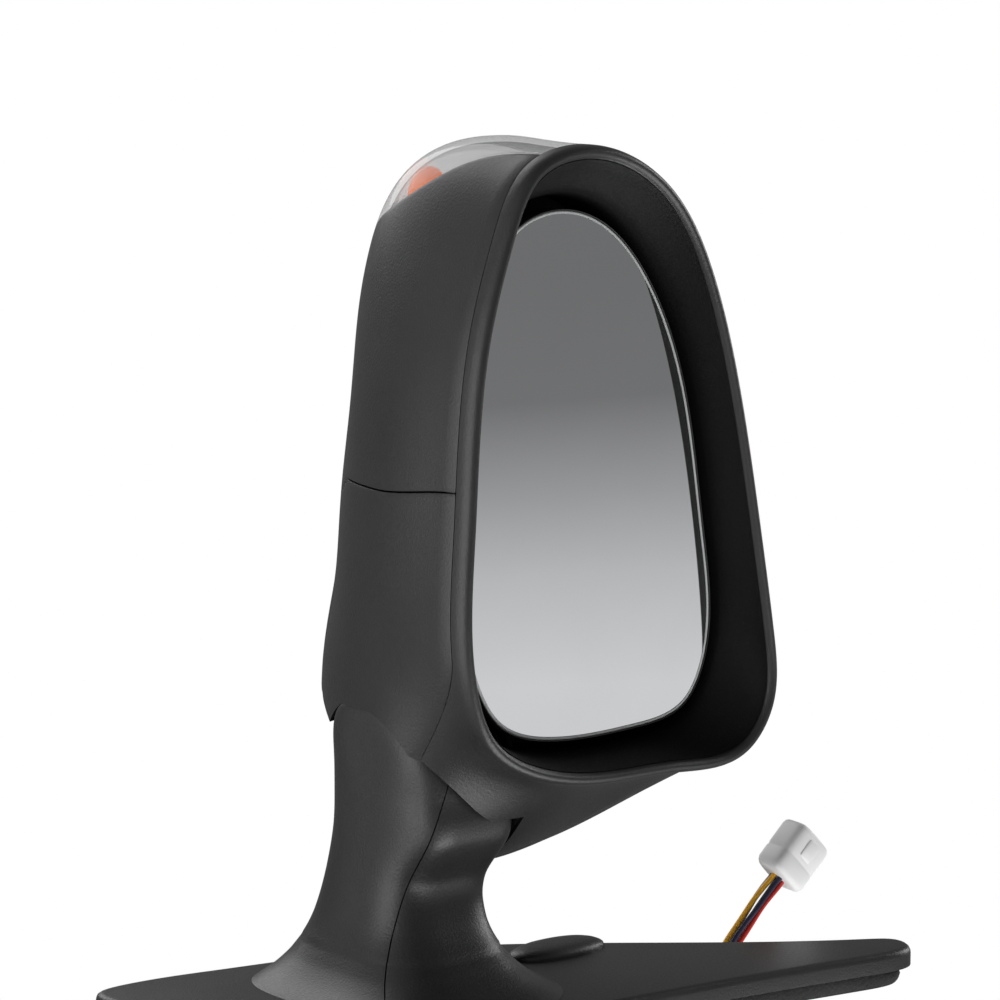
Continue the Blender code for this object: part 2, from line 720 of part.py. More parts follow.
def arm_rings(inset, columns=40):
    """Rings of the arm's skin from the foot to the tip of the nose."""
    rings = []
    for x in (ARM_ROOT_X, -17.0, -24.0, -36.0, -48.0, -58.0, -64.0, -70.0):
        half, height, y_mid, z_mid = arm_size(x)
        ring = []
        for k in range(columns):
            c, s = arm_curve(2 * math.pi * k / columns, x)
            ring.append((x, y_mid + (half - inset) * c, z_mid + (height - inset) * s))
        rings.append(ring)
    for step in range(7):
        turn = step / 6 * math.pi / 2
        ring = []
        for k in range(columns):
            c, s = arm_curve(2 * math.pi * k / columns, FOLD_X)
            reach = (NOSE_RADIUS - inset) * abs(c)
            side = math.copysign(math.cos(turn), c) if abs(c) > 1e-9 else 0.0
            ring.append((FOLD_X - reach * math.sin(turn), reach * side, ARM_Z + (NOSE_HALF - inset) * s))
        rings.append(ring)
    return rings


def make_arm_shell(name, finish):
    """Whole skin of the arm, open towards the door; the last ring zips up the nose."""
    outer = arm_rings(0.0)
    inner = arm_rings(ARM_WALL)
    return shell(name, outer, inner, lambda i, j: True, True, finish, end_wall=False)


def seam_plane(name, upper):
    """Half space on one side of the seam between the arm's covers, as a large wedge."""
    normal = Vector(COVER_SEAM_NORMAL).normalized()
    along = normal.orthogonal().normalized()
    across = normal.cross(along)
    middle = Vector(COVER_SEAM_POINT)
    side = 1.0 if upper else -1.0
    low = []
    for a, b in ((-120, -120), (120, -120), (120, 120), (-120, 120)):
        low.append(middle + along * a + across * b + normal * side * GAP / 2)
    high = [p + normal * side * 120.0 for p in low]
    return loft(name, [[tuple(p) for p in low], [tuple(p) for p in high]], hidden_plastic())


def make_arm_covers():
    bore = rod("nose_bore", (FOLD_X, 0, 0), "Z", [(5.0, 13.0), (30.0, 13.0)], hidden_plastic(), 24)
    lower = make_arm_shell("arm_lower_cover", black_plastic())
    boolean(lower, seam_plane("lower_side", False), "INTERSECT")
    upper = make_arm_shell("arm_rear_cover", black_plastic())
    boolean(upper, seam_plane("upper_side", True), "INTERSECT")
    boolean(upper, bore)
    boolean(lower, bore)


def foot_ring(inset, x, columns=48):
    """The foot's outline at a distance inside its edge."""
    ring = []
    for k in range(columns):
        y, z = loop_inset(FOOT_LOOP, k / columns, inset)
        ring.append((x, y, z))
    return ring


def small_foot_ring(share, x, columns=48):
    """The foot's outline shrunk about its middle."""
    ring = []
    for k in range(columns):
        y, z = on_loop(FOOT_LOOP, k / columns)
        ring.append((x, FOOT_MIDDLE[0] + (y - FOOT_MIDDLE[0]) * share,
                     FOOT_MIDDLE[1] + (z - FOOT_MIDDLE[1]) * share))
    return ring


def make_sail_cover():
    """Shallow lid over the foot bracket, with an opening for the arm's core."""
    outer = [foot_ring(0.0, FOOT_EDGE_X), foot_ring(0.0, FOOT_OUTER_X + 1.4),
             foot_ring(1.4, FOOT_OUTER_X)]
    inner = [foot_ring(2.4, FOOT_OUTER_X + 2.4), foot_ring(2.4, FOOT_EDGE_X)]
    columns = len(outer[0])
    points = [p for ring in outer + inner for p in ring]
    faces = ring_faces(5, columns)
    top = tuple(range(2 * columns, 3 * columns))
    under = tuple(range(3 * columns, 4 * columns))
    faces = [f for f in faces if not (f[0] // columns == 2 and f[2] // columns == 3)]
    faces.append(top)
    faces.append(under)
    for j in range(columns):
        k = (j + 1) % columns
        faces.append((4 * columns + j, 4 * columns + k, k, j))
    cover = add_mesh("sail_cover", points, faces, black_plastic())
    half, height, y_mid, z_mid = arm_size(ARM_ROOT_X)
    window = []
    for x in (-30.0, 0.0):
        window.append([(x, y_mid + (half - WINDOW_INSET) * c, z_mid + (height - WINDOW_INSET) * s)
                       for c, s in (arm_curve(2 * math.pi * k / 32, x) for k in range(32))])
    boolean(cover, loft("core_window", window, hidden_plastic()))
    return cover


def make_foot_bracket():
    """Cast bracket: plate on the door, arm core and the seat of the pivot post."""
    alloy = material("cast_aluminium", (0.45, 0.46, 0.47), 0.5, 0.9)
    plate = loft("foot_bracket", [small_foot_ring(0.80, 0.0), small_foot_ring(0.80, -5.8)], alloy)
    rings = []
    for x in (-5.4, -17.0, -24.0, -36.0, -48.0, -60.0, -77.0):
        half, height, y_mid, z_mid = arm_size(min(x, ARM_ROOT_X))
        inset = WINDOW_INSET + 1.0
        ring = []
        for k in range(28):
            c, s = arm_curve(2 * math.pi * k / 28, x)
            ring.append((x, y_mid + (half - inset) * c, z_mid + (height - inset) * s))
        rings.append(ring)
    core = loft("arm_core", rings, alloy)
    hub = rod("core_hub", (FOLD_X, 0, 0), "Z", [(ARM_Z - 11.0, 18.0), (ARM_TOP - 5.8, 18.0)], alloy, 28)
    seat = rod("post_seat", (FOLD_X, 0, 0), "Z", [(-12.0, POST_RADIUS + GAP), (30.0, POST_RADIUS + GAP)],
               alloy, 24)
    wire_hole = rod("wire_hole", (0.0, LEAD_Y, LEAD_Z), "X", [(-10.0, 8.6), (10.0, 8.6)], alloy, 24)
    boolean(plate, core, "UNION")
    boolean(plate, hub, "UNION")
    boolean(plate, seat)
    boolean(plate, wire_hole)
    return plate


def make_foam_gasket():
    """Foam frame between the foot's edge and the door."""
    foam = material("black_foam", (0.02, 0.02, 0.02), 0.95)
    profile = ((0.97, -0.2), (0.97, -5.0), (0.85, -5.0), (0.85, -0.2))
    rings = [small_foot_ring(share, x) for share, x in profile]
    return hoop("foam_gasket", list(zip(*rings)), foam)


STUDS = ((-51.0, 118.0), (-40.0, -44.0), (36.0, -58.0))


def make_studs():
    """Threaded studs that pass through the door's corner, with their collars on the bracket."""
    for number, (y, z) in enumerate(STUDS, 1):
        rod("stud_%d" % number, (0.0, y, z), "X",
            [(GAP, 6.5), (2.4, 6.5), (2.4, 3.0), (21.0, 3.0), (22.0, 2.2)], steel(), 20)


def make_grommet():
    rubber = material("rubber", (0.02, 0.02, 0.02), 0.8)
    return washer("cable_grommet", (0.0, LEAD_Y, LEAD_Z), "X",
                  [(-4.2, 5.6), (-4.2, 8.2), (2.2, 8.2), (3.0, 7.6), (3.0, 5.6)],
                  rubber, 24)


def make_sail_plug():
    """Oval blanking plug that stands on the sail cover beside the arm."""
    rings = []
    for x, share in ((FOOT_OUTER_X - 0.35, 1.0), (FOOT_OUTER_X - 2.4, 0.97), (FOOT_OUTER_X - 3.6, 0.86),
                     (FOOT_OUTER_X - 4.0, 0.6)):
        rings.append([(x, -2.0 + 9.0 * share * c, 58.0 + 19.0 * share * s)
                      for c, s in (power_curve(2 * math.pi * k / 28, 2.2) for k in range(28))])
    return loft("sail_plug", rings, black_plastic())


LEADS = (("lead_red", (0.55, 0.02, 0.01), 0.0), ("lead_black", (0.01, 0.01, 0.01), 72.0),
         ("lead_grey", (0.3, 0.27, 0.27), 144.0), ("lead_yellow", (0.85, 0.5, 0.02), 216.0),
         ("lead_blue", (0.02, 0.02, 0.08), 288.0))


LEAD_KNOTS = ((1.0, LEAD_Y, LEAD_Z), (12.0, -33.0, 101.0), (12.0, -16.0, 114.0), (-3.0, -10.0, 129.0),
              (-15.0, -10.0, 141.0), (-25.0, -11.0, 151.0))
BUNDLE_RADIUS = 2.1


def lead_middle(pieces=3):
    """Centre line of the bundle from the grommet round the foot's edge to the connector."""
    points = [Vector(k) for k in LEAD_KNOTS]
    path = []
    for i in range(len(points) - 1):
        before = points[max(i - 1, 0)]
        after = points[min(i + 2, len(points) - 1)]
        for k in range(pieces):
            u = k / pieces
            m0 = (points[i + 1] - before) / 2
            m1 = (after - points[i]) / 2
            path.append(points[i] * (2 * u ** 3 - 3 * u ** 2 + 1) + m0 * (u ** 3 - 2 * u ** 2 + u)
                        + points[i + 1] * (3 * u ** 2 - 2 * u ** 3) + m1 * (u ** 3 - u ** 2))
    path.append(points[-1])
    return path


def frames(path):
    """Two directions across the path at each of its points, turning as little as they can."""
    side = Vector((0, 0, 1))
    found = []
    for i in range(len(path)):
        ahead = (path[min(i + 1, len(path) - 1)] - path[max(i - 1, 0)]).normalized()
        side = (side - ahead * side.dot(ahead)).normalized()
        found.append((side.copy(), ahead.cross(side)))
    return found


def lead_path(angle):
    """Centre line of one lead, which turns round the bundle a little on its way."""
    middle = lead_middle()
    path = []
    for i, (side, up) in enumerate(frames(middle)):
        turn = math.radians(angle + 60.0 * i / len(middle))
        path.append(middle[i] + side * BUNDLE_RADIUS * math.cos(turn) + up * BUNDLE_RADIUS * math.sin(turn))
    return path


def tube(name, path, radius, finish, count=8):
    """Round cord along a path."""
    rings = []
    for point, (side, up) in zip(path, frames(path)):
        rings.append([tuple(point + side * a + up * b) for a, b in circle(radius, count)])
    return loft(name, rings, finish)


def make_leads():
    for name, colour, angle in LEADS:
        tube(name, lead_path(angle), 0.95, material(name + "_insulation", colour, 0.4))


def make_connector():
    white = material("white_nylon", (0.85, 0.85, 0.85), 0.4)
    ahead = (Vector(LEAD_KNOTS[-1]) - Vector(LEAD_KNOTS[-2])).normalized()
    side = ahead.cross(Vector((0, 1, 0))).normalized()
    up = ahead.cross(side)
    rings = []
    start = Vector(LEAD_KNOTS[-1]) + ahead * 0.8
    for along, share in ((0.0, 0.8), (2.0, 1.0), (17.0, 1.0), (19.0, 0.85)):
        ring = []
        for k in range(20):
            a, b = power_curve(2 * math.pi * k / 20, 5.0)
            ring.append(tuple(start + ahead * along + side * a * 9.0 * share + up * b * 6.0 * share))
        rings.append(ring)
    return loft("connector", rings, white)


# ---------------------------------------------------------------- fold joint

def make_fold_joint():
    """Post, detent ring, spring and its retainer on the fold axis."""
    axis = (FOLD_X, 0.0, 0.0)
    washer("pivot_post", axis, "Z", [(-11.5, 5.6), (-11.5, POST_RADIUS), (52.0, POST_RADIUS), (52.0, 5.6)],
           steel(), 24)
    washer("detent_ring", axis, "Z", [(ARM_TOP + 0.35, POST_RADIUS + GAP), (ARM_TOP + 0.35, 12.4),
                                      (19.4, 12.4), (19.4, POST_RADIUS + GAP)], steel(), 24)
    washer("spring_retainer", axis, "Z", [(47.6, POST_RADIUS + GAP), (47.6, 12.4), (50.4, 12.4),
                                          (50.4, POST_RADIUS + GAP)], steel(), 24)


def make_fold_spring():
    """Compression coil round the post, between the frame's hub and the retainer."""
    turns = 3
    steps = 16
    wire = 1.2
    low = 36.0
    high = 46.0
    path = []
    for k in range(turns * steps + 1):
        angle = 2 * math.pi * k / steps
        rise = low + (high - low) * k / (turns * steps)
        path.append(Vector((FOLD_X + 10.4 * math.cos(angle), 10.4 * math.sin(angle), rise)))
    return tube("fold_spring", path, wire, steel(), 6)


def build():
    for old in list(bpy.data.objects):
        bpy.data.objects.remove(old, do_unlink=True)
    swing = make_swing_cutter()
    for made in (make_bezel(), make_front_cap(), make_lower_cover()):
        boolean(made, swing)
    make_signal_lens()
    make_signal_housing()
    make_signal_bulb()
    make_bulb_socket()
    make_head_frame()
    make_adjuster()
    make_case_screws()
    make_spindles()
    make_mirror_glass()
    make_adhesive_pad()
    make_glass_holder()
    make_tilt_ring()
    make_arm_covers()
    make_sail_cover()
    make_foot_bracket()
    make_foam_gasket()
    make_studs()
    make_grommet()
    make_sail_plug()
    make_leads()
    make_connector()
    make_fold_joint()
    make_fold_spring()


build()
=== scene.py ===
"""Looks of the left-hand car side mirror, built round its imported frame.

Lengths are in millimetres until a mesh is made; +Z is up on the car, +Y points to its front and -X outboard.
"""

import math

import bmesh
import bpy
import numpy as np
from mathutils import Matrix, Vector


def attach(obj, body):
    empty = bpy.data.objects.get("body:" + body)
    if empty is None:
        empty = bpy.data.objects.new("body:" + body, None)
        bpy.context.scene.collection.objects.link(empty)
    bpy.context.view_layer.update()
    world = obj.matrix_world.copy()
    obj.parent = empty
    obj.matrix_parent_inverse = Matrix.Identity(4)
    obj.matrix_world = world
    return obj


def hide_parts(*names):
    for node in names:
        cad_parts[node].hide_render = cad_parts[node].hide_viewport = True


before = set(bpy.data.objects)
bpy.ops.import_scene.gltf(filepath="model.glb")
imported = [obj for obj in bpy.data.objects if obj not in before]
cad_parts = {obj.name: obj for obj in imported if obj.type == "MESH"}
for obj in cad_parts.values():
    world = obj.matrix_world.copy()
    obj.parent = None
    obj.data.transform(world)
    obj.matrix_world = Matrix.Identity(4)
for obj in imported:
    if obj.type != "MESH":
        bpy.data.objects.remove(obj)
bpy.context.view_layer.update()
MM = 0.001

# Head outlines, in planes of constant y, as (x, z)
RIM = [(-282, 24), (-279, 45), (-265, 66), (-241, 80.8), (-208, 91.8), (-156, 103), (-121, 109.4),
       (-96.5, 109.4), (-82, 98), (-79, 66), (-79.5, 36), (-85, 6), (-97, -13), (-116, -21.3),
       (-166, -22), (-222, -16.5), (-255, -6.5), (-275, 5)]
MIDDLE = [(-284, 26), (-275.5, 46), (-260, 62), (-241, 76), (-208, 86), (-156, 95), (-118, 99),
          (-93, 96), (-71, 86), (-56, 65), (-49.5, 41), (-49.5, 18), (-57, -5), (-79, -20), (-114, -22.8),
          (-166, -22.5), (-222, -16), (-257, -6), (-278, 7)]
GLASS = [(-261.5, 28), (-257.5, 45.6), (-235, 67.5), (-207, 79.5), (-155, 89.5), (-112, 91.5),
         (-99, 84.5), (-92.5, 60), (-92.5, 27), (-100, 4), (-113, -5.5), (-159, -12), (-220, -5.5),
         (-256, 11)]
SEAM_Y = -46.5                # seam between the bezel and the front shells
RIM_Y = -53.0                 # rearmost line of the rolled rim
FRONT_Y = 44.0                # front of the head at the pole
FRONT_SLOPE = 0.14            # the head is deeper towards the arm
POLE = np.array([-192.0, 38.0])
MIDDLE_DEPTH = 0.42           # share of the head's depth at which the middle outline lies
SIDE_POWER = 2.6              # squareness of the head's section along its long sides
END_POWER = 5.0               # and at its two ends
FULLNESS = 2.0                # how far the underside swells past its outline
SHELL_WALL = 2.2
SHELL_GAP = 0.22              # half of the gap between two front shells
SHELL_START = 0.004           # depth at which the front shells begin, just clear of the seam
CHEEK_REACH = 0.092           # share of the rim's length over which the seam returns to its plane
CHEEK_DEPTH = 0.30            # depth that the seam reaches along the inboard face
CROWN_REACH = 0.12            # share of the rim's length over which it gets there
LIP_INSET = 4.9               # width of the rolled rim
ROLL_OUTER = 2.5              # outer part of that width, with the tight radius
HOOD_START_Y = -51.2
HOOD_END_Y = -30.0
HOOD_BACK_Y = -16.0           # end of the wall that closes the head off behind the glass
HOOD_FLANGE = 9.0             # how far that wall turns inward at its end
HOOD_CLEAR = 3.6              # gap between the glass unit and the hood
HOOD_SKIN = 0.25
HOOD_WALL = 1.5

# Resolution of the head's surfaces: columns round the rim, rows from the seam to the front
COLUMNS = 288
ROWS = 44

# Borders of the shells, in columns and rows
LENS_HALF = 14                # columns of the lens on each side of the tip
LENS_END = 37                 # row at which the lens ends, towards the front
LENS_WALL = 2.0
COVER_LAST = 24               # row at which the lower cover ends
COVER_SEAM_X = -178.0         # the seam across the head's underside
COVER_CORNER_ROWS = 5         # rows over which the cover's outer corner is cut off

# Lamp
REFLECTOR_INSETS = (12.0, 13.5)
REFLECTOR_ROWS = (13.0, 34.0)
REFLECTOR_RIB = 0.6           # height of the ribs
REFLECTOR_RIBS = 150          # number that would go round the whole rim
REFLECTOR_TRIM = 0.10         # share of the lens's width that the reflector leaves free
BULB_AT = (-246.0, 20.0, 22.0)
BULB = ((-1.0, 4.4), (-4.0, 5.2), (-9.0, 6.5), (-14.0, 6.9), (-19.0, 6.6), (-23.0, 5.4), (-25.6, 3.4),
        (-26.6, 1.2))

# Glass unit
GLASS_Y = -36.0               # rear face of the glass at its edge
GLASS_RADIUS = 1400.0
GLASS_REACH = 92.0            # distance from the tilt centre at which the dome's height is zero
TILT = np.array([-172.0, 42.0])
# Section of the ground edge as (inset, depth)
GLASS_EDGE = ((1.35, -0.15), (0.95, -0.3), (0.6, -0.1), (0.5, 0.5), (0.6, 1.4), (1.25, 1.6))
TRAY_FLOOR = 3.6              # behind the glass's rear face
TRAY_WALL = 1.8

# Arm
FOLD_X = -77.0                # fold axis, along z
ARM_Z = -5.3                  # level of the arm's middle line
ARM_TOP = 17.8                # its top at the nose
BOTTOM_POWER = 3.3            # squareness of the arm's underside
EDGE_POWER = 9.0              # squareness of the nose's lower edge, seen from the side
ARM_WALL = 2.4
ARM_ROOT_X = -12.1
NOSE_BORE = 13.0              # radius of the hole for the pivot
HEAD_FLOOR = ARM_TOP + 0.6
REAR_SPREAD = math.radians(105)      # how far the head wraps round the nose, from outboard
FRONT_SPREAD = math.radians(55)
# Arm sections: place along x, then the reach to the rear, front, top and bottom, and the squareness of the top
ARM_SECTIONS = ((-77.0, 29.3, 24.5, 23.1, 15.2, 9.0), (-66.0, 31.0, 24.5, 23.1, 15.3, 10.0),
                (-60.0, 28.4, 25.2, 23.1, 15.6, 10.0), (-56.0, 24.6, 26.0, 22.9, 16.0, 9.0),
                (-52.0, 21.2, 26.8, 22.4, 16.5, 7.0), (-45.5, 19.0, 28.2, 21.5, 17.4, 5.0),
                (-36.0, 21.4, 30.7, 22.0, 19.5, 4.0), (-29.5, 25.6, 32.7, 23.5, 22.0, 3.5),
                (-25.0, 30.2, 35.0, 25.6, 24.6, 3.2), (-20.0, 37.0, 38.0, 29.6, 28.6, 3.0),
                (-16.0, 44.0, 41.0, 34.0, 33.5, 2.8), (-13.5, 50.0, 43.0, 38.5, 38.5, 2.7),
                (-12.0, 54.5, 44.0, 42.5, 43.0, 2.6), (-10.0, 58.0, 45.0, 46.0, 47.0, 2.5))
# Room that the folding head leaves round the nose: (z, radius)
SWING = ((-70.0, 26.4), (-20.9, 26.4), (-20.2, 27.3), (-18.6, 29.8), (-15.0, 31.1), (-10.0, 31.9),
         (-5.0, 32.1))
SWING_REACH = 150.0           # outer radius of that room, well past the part
SEAM_POINT = Vector((-46.0, -18.0, -19.0))     # plane of the seam between the arm's two covers
SEAM_NORMAL = Vector((0.33, -0.41, 0.85)).normalized()
SEAM_GAP = 0.35
SEAM_REACH = 120.0            # half size of the blocks that part the covers

# Foot, outlined in planes of constant x as (y, z)
FOOT = [(-62, 158), (-54, 149.5), (-12, 92), (22, 47), (43, 5), (53, -40), (57.5, -74), (54, -88),
        (40, -90.5), (0, -81), (-44, -68), (-58, -54), (-60, -20), (-61.5, 30), (-66, 80), (-74, 136),
        (-71.5, 154.5)]
FOOT_OUTER_X = -12.0
FOOT_EDGE_X = -5.5
# Rolled edge of the sail cover as (inset, x), then its inside
SAIL_ROLL = ((0.0, FOOT_EDGE_X), (0.0, -9.6), (0.12, -10.5), (0.5, -11.25), (1.1, -11.7), (1.9, -11.93),
             (2.8, FOOT_OUTER_X))
SAIL_INSIDE = ((2.6, -9.6), (2.2, FOOT_EDGE_X))
# Sail plug: middle and half size in y and z, then its section as (rise, share of the size)
PLUG_MIDDLE = (-2.0, 58.0)
PLUG_HALF = (9.0, 19.0)
PLUG = ((0.4, 1.0), (-0.7, 1.0), (-1.3, 0.985), (-1.9, 0.94), (-2.5, 0.86), (-3.0, 0.75), (-3.35, 0.6),
        (-3.55, 0.4), (-3.6, 0.15))
# Gasket section as (share of the foot's size, x)
GASKET = ((0.965, -0.3), (0.972, -1.4), (0.975, -2.8), (0.972, -4.2), (0.965, -5.0), (0.852, -5.0),
          (0.85, -0.3))
STUDS = ((-51.0, 118.0), (-40.0, -44.0), (36.0, -58.0))
STUD_PITCH = 1.0

# Leads and connector
LEAD_KNOTS = ((1.0, -41.0, 94.0), (12.0, -33.0, 101.0), (12.0, -16.0, 114.0), (-3.0, -10.0, 129.0),
              (-15.0, -10.0, 141.0), (-25.0, -11.0, 151.0))
BUNDLE_RADIUS = 2.1
LEAD_RADIUS = 0.95
# Connector as (place along the leads, share of its size), and its latch as (place, rise)
CONNECTOR = ((0.0, 0.74), (0.4, 0.86), (1.2, 0.95), (2.4, 1.0), (7.0, 1.0), (7.4, 0.975), (8.0, 0.975),
             (8.4, 1.0), (16.8, 1.0), (18.0, 0.965), (18.7, 0.9), (19.0, 0.8))
LATCH = ((9.5, -0.5), (10.2, -0.1), (13.0, 0.0), (15.5, 0.0), (16.4, -0.4))

# Stage, in metres
VIEW_FROM = Vector((-0.1392, -0.7586, -0.6366)).normalized()     # from the object towards the camera
VIEW_UP = Vector((-0.9903, 0.1066, 0.0895))
VIEW_TARGET = Vector((-0.1719, -0.0360, 0.0050))
VIEW_DISTANCE = 1.235
LENS_LENGTH = 142.74
FLOOR_Z = -1.3
FLOOR_HALF = 6.0
FLOOR_GLOW = 0.55                      # lifts the floor to the studio's white for the camera alone
SCREEN_AT = (0.11, -0.765, 0.635)      # direction in which the mirror sees the screen
SCREEN_DARK = 0.01                     # x of the directions at its dark and light ends
SCREEN_LIGHT = 0.25
SCREEN_STOPS = ((0.0, 0.17), (0.3, 0.185), (0.54, 0.36), (0.73, 0.53), (1.0, 0.68))
SCREEN_FADE = (0.86, 0.95)             # how closely a direction agrees with it at its outer and inner border
ROOM_LEVEL = 0.18
# Lights: direction from the object, distance, size and power in watts
LIGHTS = {"below": ((0.05, 0.15, -1.0), 1.2, (1.2, 1.0), 7.5),
          "inboard": ((1.0, -0.75, 0.1), 1.5, (1.3, 1.5), 23.0),
          "above": ((-0.25, -0.1, 1.0), 1.6, (0.9, 0.9), 9.0),
          "front": ((-0.6, 1.0, 0.1), 1.8, (1.2, 1.2), 10.0)}


# ---------------------------------------------------------------- curves

def curve_slopes(knots, steps):
    """Tangents of the smooth periodic cubic through the knots."""
    count = len(steps)
    matrix = np.zeros((count, count))
    right = np.zeros((count, knots.shape[1]))
    for i in range(count):
        before = steps[i - 1]
        after = steps[i]
        matrix[i, i - 1] += 1 / before
        matrix[i, i] += 2 / before + 2 / after
        matrix[i, (i + 1) % count] += 1 / after
        right[i] += 3 * (knots[i] - knots[i - 1]) / before ** 2
        right[i] += 3 * (knots[(i + 1) % count] - knots[i]) / after ** 2
    return np.linalg.solve(matrix, right)


def smooth_loop(points, samples=1440):
    """Evenly spaced points on the smooth closed curve through the given points."""
    knots = np.array(points, dtype=float)
    steps = np.linalg.norm(np.roll(knots, -1, axis=0) - knots, axis=1)
    slopes = curve_slopes(knots, steps)
    u = np.linspace(0, 1, 60, endpoint=False)[:, None]
    fine = []
    for i in range(len(knots)):
        j = (i + 1) % len(knots)
        leave = (2 * u ** 3 - 3 * u ** 2 + 1) * knots[i] + (u ** 3 - 2 * u ** 2 + u) * steps[i] * slopes[i]
        arrive = (3 * u ** 2 - 2 * u ** 3) * knots[j] + (u ** 3 - u ** 2) * steps[i] * slopes[j]
        fine.append(leave + arrive)
    fine = np.concatenate(fine + [fine[0][:1]])
    run = np.concatenate(([0.0], np.cumsum(np.linalg.norm(np.diff(fine, axis=0), axis=1))))
    wanted = np.linspace(0, run[-1], samples, endpoint=False)
    return np.column_stack([np.interp(wanted, run, fine[:, k]) for k in (0, 1)])


def on_loop(loop, t):
    """The loop's points at fractions t of its length."""
    place = (np.asarray(t, dtype=float) % 1.0) * len(loop)
    low = np.floor(place).astype(int) % len(loop)
    part = (place - np.floor(place))[..., None]
    return loop[low] * (1 - part) + loop[(low + 1) % len(loop)] * part


def loop_inset(loop, t, inset):
    """Points at a distance inside the loop, which runs clockwise as seen from behind."""
    ahead = on_loop(loop, np.asarray(t) + 0.004) - on_loop(loop, np.asarray(t) - 0.004)
    ahead = ahead / np.linalg.norm(ahead, axis=-1, keepdims=True)
    inward = np.stack([ahead[..., 1], -ahead[..., 0]], axis=-1)
    return on_loop(loop, t) + inward * np.asarray(inset)[..., None]


def place_of(loop, x, z):
    """Fraction of the loop's length at its point nearest to (x, z)."""
    return int(np.argmin(np.linalg.norm(loop - np.array([x, z]), axis=1))) / len(loop)


def smooth_step(u):
    u = np.clip(u, 0.0, 1.0)
    return u * u * (3 - 2 * u)


def bump(u, centre, half_width):
    """Smooth hill of height 1 round centre, on the unit circle of loop fractions."""
    away = np.abs((np.asarray(u) - centre + 0.5) % 1.0 - 0.5)
    return smooth_step(1 - away / half_width)


def power_curve(angle, power):
    """Point of a rounded square; power 2 is a circle."""
    c = math.cos(angle)
    s = math.sin(angle)
    return (math.copysign(abs(c) ** (2 / power), c), math.copysign(abs(s) ** (2 / power), s))


RIM_LOOP = smooth_loop(RIM)
MIDDLE_LOOP = smooth_loop(MIDDLE)
GLASS_LOOP = smooth_loop(GLASS)
FOOT_LOOP = smooth_loop(FOOT)
CHEEK = place_of(RIM_LOOP, -85.5, 4)
CROWN = place_of(RIM_LOOP, -99, 107)
FLARE = place_of(RIM_LOOP, -84, 8)
UNDERSIDE = place_of(RIM_LOOP, -170, -22)
COVER_SEAM_T = place_of(RIM_LOOP, COVER_SEAM_X, -21.5)
COVER_FIRST = place_of(RIM_LOOP, -93, -8)
# Head floor: its outline inboard of the shells, (x, y), and the stretch of the rim that it follows
FLOOR_OUTLINE = ((-108.5, None), (-108.5, -14.0), (-86.0, -27.0))
INBOARD = np.linspace(place_of(RIM_LOOP, -80, 60), place_of(RIM_LOOP, -90, -5), 500)


# ---------------------------------------------------------------- materials

class Nodes:
    """A node tree with short calls."""

    def __init__(self, tree):
        self.tree = tree

    def add(self, kind, **settings):
        made = self.tree.nodes.new(kind)
        for key, value in settings.items():
            if key in made.inputs:
                made.inputs[key].default_value = value
            else:
                setattr(made, key, value)
        return made

    def link(self, source, target):
        self.tree.links.new(source, target)


def shader_of(finish):
    """Inputs of the material's own shader."""
    return finish.node_tree.nodes["Principled BSDF"].inputs


def grained(name, colour, roughness, grain=0.35, depth=0.02, vary=0.12, metallic=0.0, rough_vary=0.06):
    """Moulded or cast surface: fine grain of a size in millimetres, slow drift in colour and gloss."""
    made = bpy.data.materials.new(name)
    made.use_nodes = True
    nodes = Nodes(made.node_tree)
    shader = shader_of(made)
    shader["Metallic"].default_value = metallic
    place = nodes.add("ShaderNodeTexCoord")
    fine = nodes.add("ShaderNodeTexNoise", Scale=1 / (grain * MM), Detail=2.0, Roughness=0.6)
    slow = nodes.add("ShaderNodeTexNoise", Scale=35.0, Detail=3.0)
    lift = nodes.add("ShaderNodeBump", Strength=1.0, Distance=depth * MM)
    shade = nodes.add("ShaderNodeValToRGB")
    dark = [c * (1 - vary) for c in colour]
    light = [c * (1 + vary) for c in colour]
    shade.color_ramp.elements[0].position = 0.3
    shade.color_ramp.elements[0].color = (*dark, 1.0)
    shade.color_ramp.elements[1].position = 0.7
    shade.color_ramp.elements[1].color = (*light, 1.0)
    gloss = nodes.add("ShaderNodeMapRange")
    gloss.inputs["From Min"].default_value = 0.3
    gloss.inputs["From Max"].default_value = 0.7
    gloss.inputs["To Min"].default_value = roughness - rough_vary
    gloss.inputs["To Max"].default_value = roughness + rough_vary
    for texture in (fine, slow):
        nodes.link(place.outputs["Object"], texture.inputs["Vector"])
    nodes.link(fine.outputs["Fac"], lift.inputs["Height"])
    nodes.link(lift.outputs["Normal"], shader["Normal"])
    nodes.link(slow.outputs["Fac"], shade.inputs["Fac"])
    nodes.link(shade.outputs["Color"], shader["Base Color"])
    nodes.link(fine.outputs["Fac"], gloss.inputs["Value"])
    nodes.link(gloss.outputs["Result"], shader["Roughness"])
    return made


def clear_material():
    """Clear moulded lens: a thin tint that the light passes, and the full gloss of its skin."""
    made = grained("clear_polycarbonate", (0.26, 0.27, 0.28), 0.08, grain=1.2, depth=0.01, vary=0.06,
                   rough_vary=0.03)
    nodes = Nodes(made.node_tree)
    facing = nodes.add("ShaderNodeLayerWeight", Blend=0.35)
    cover = nodes.add("ShaderNodeMapRange")
    cover.inputs["To Min"].default_value = 0.08
    cover.inputs["To Max"].default_value = 0.55
    nodes.link(facing.outputs["Facing"], cover.inputs["Value"])
    nodes.link(cover.outputs["Result"], shader_of(made)["Alpha"])
    return made


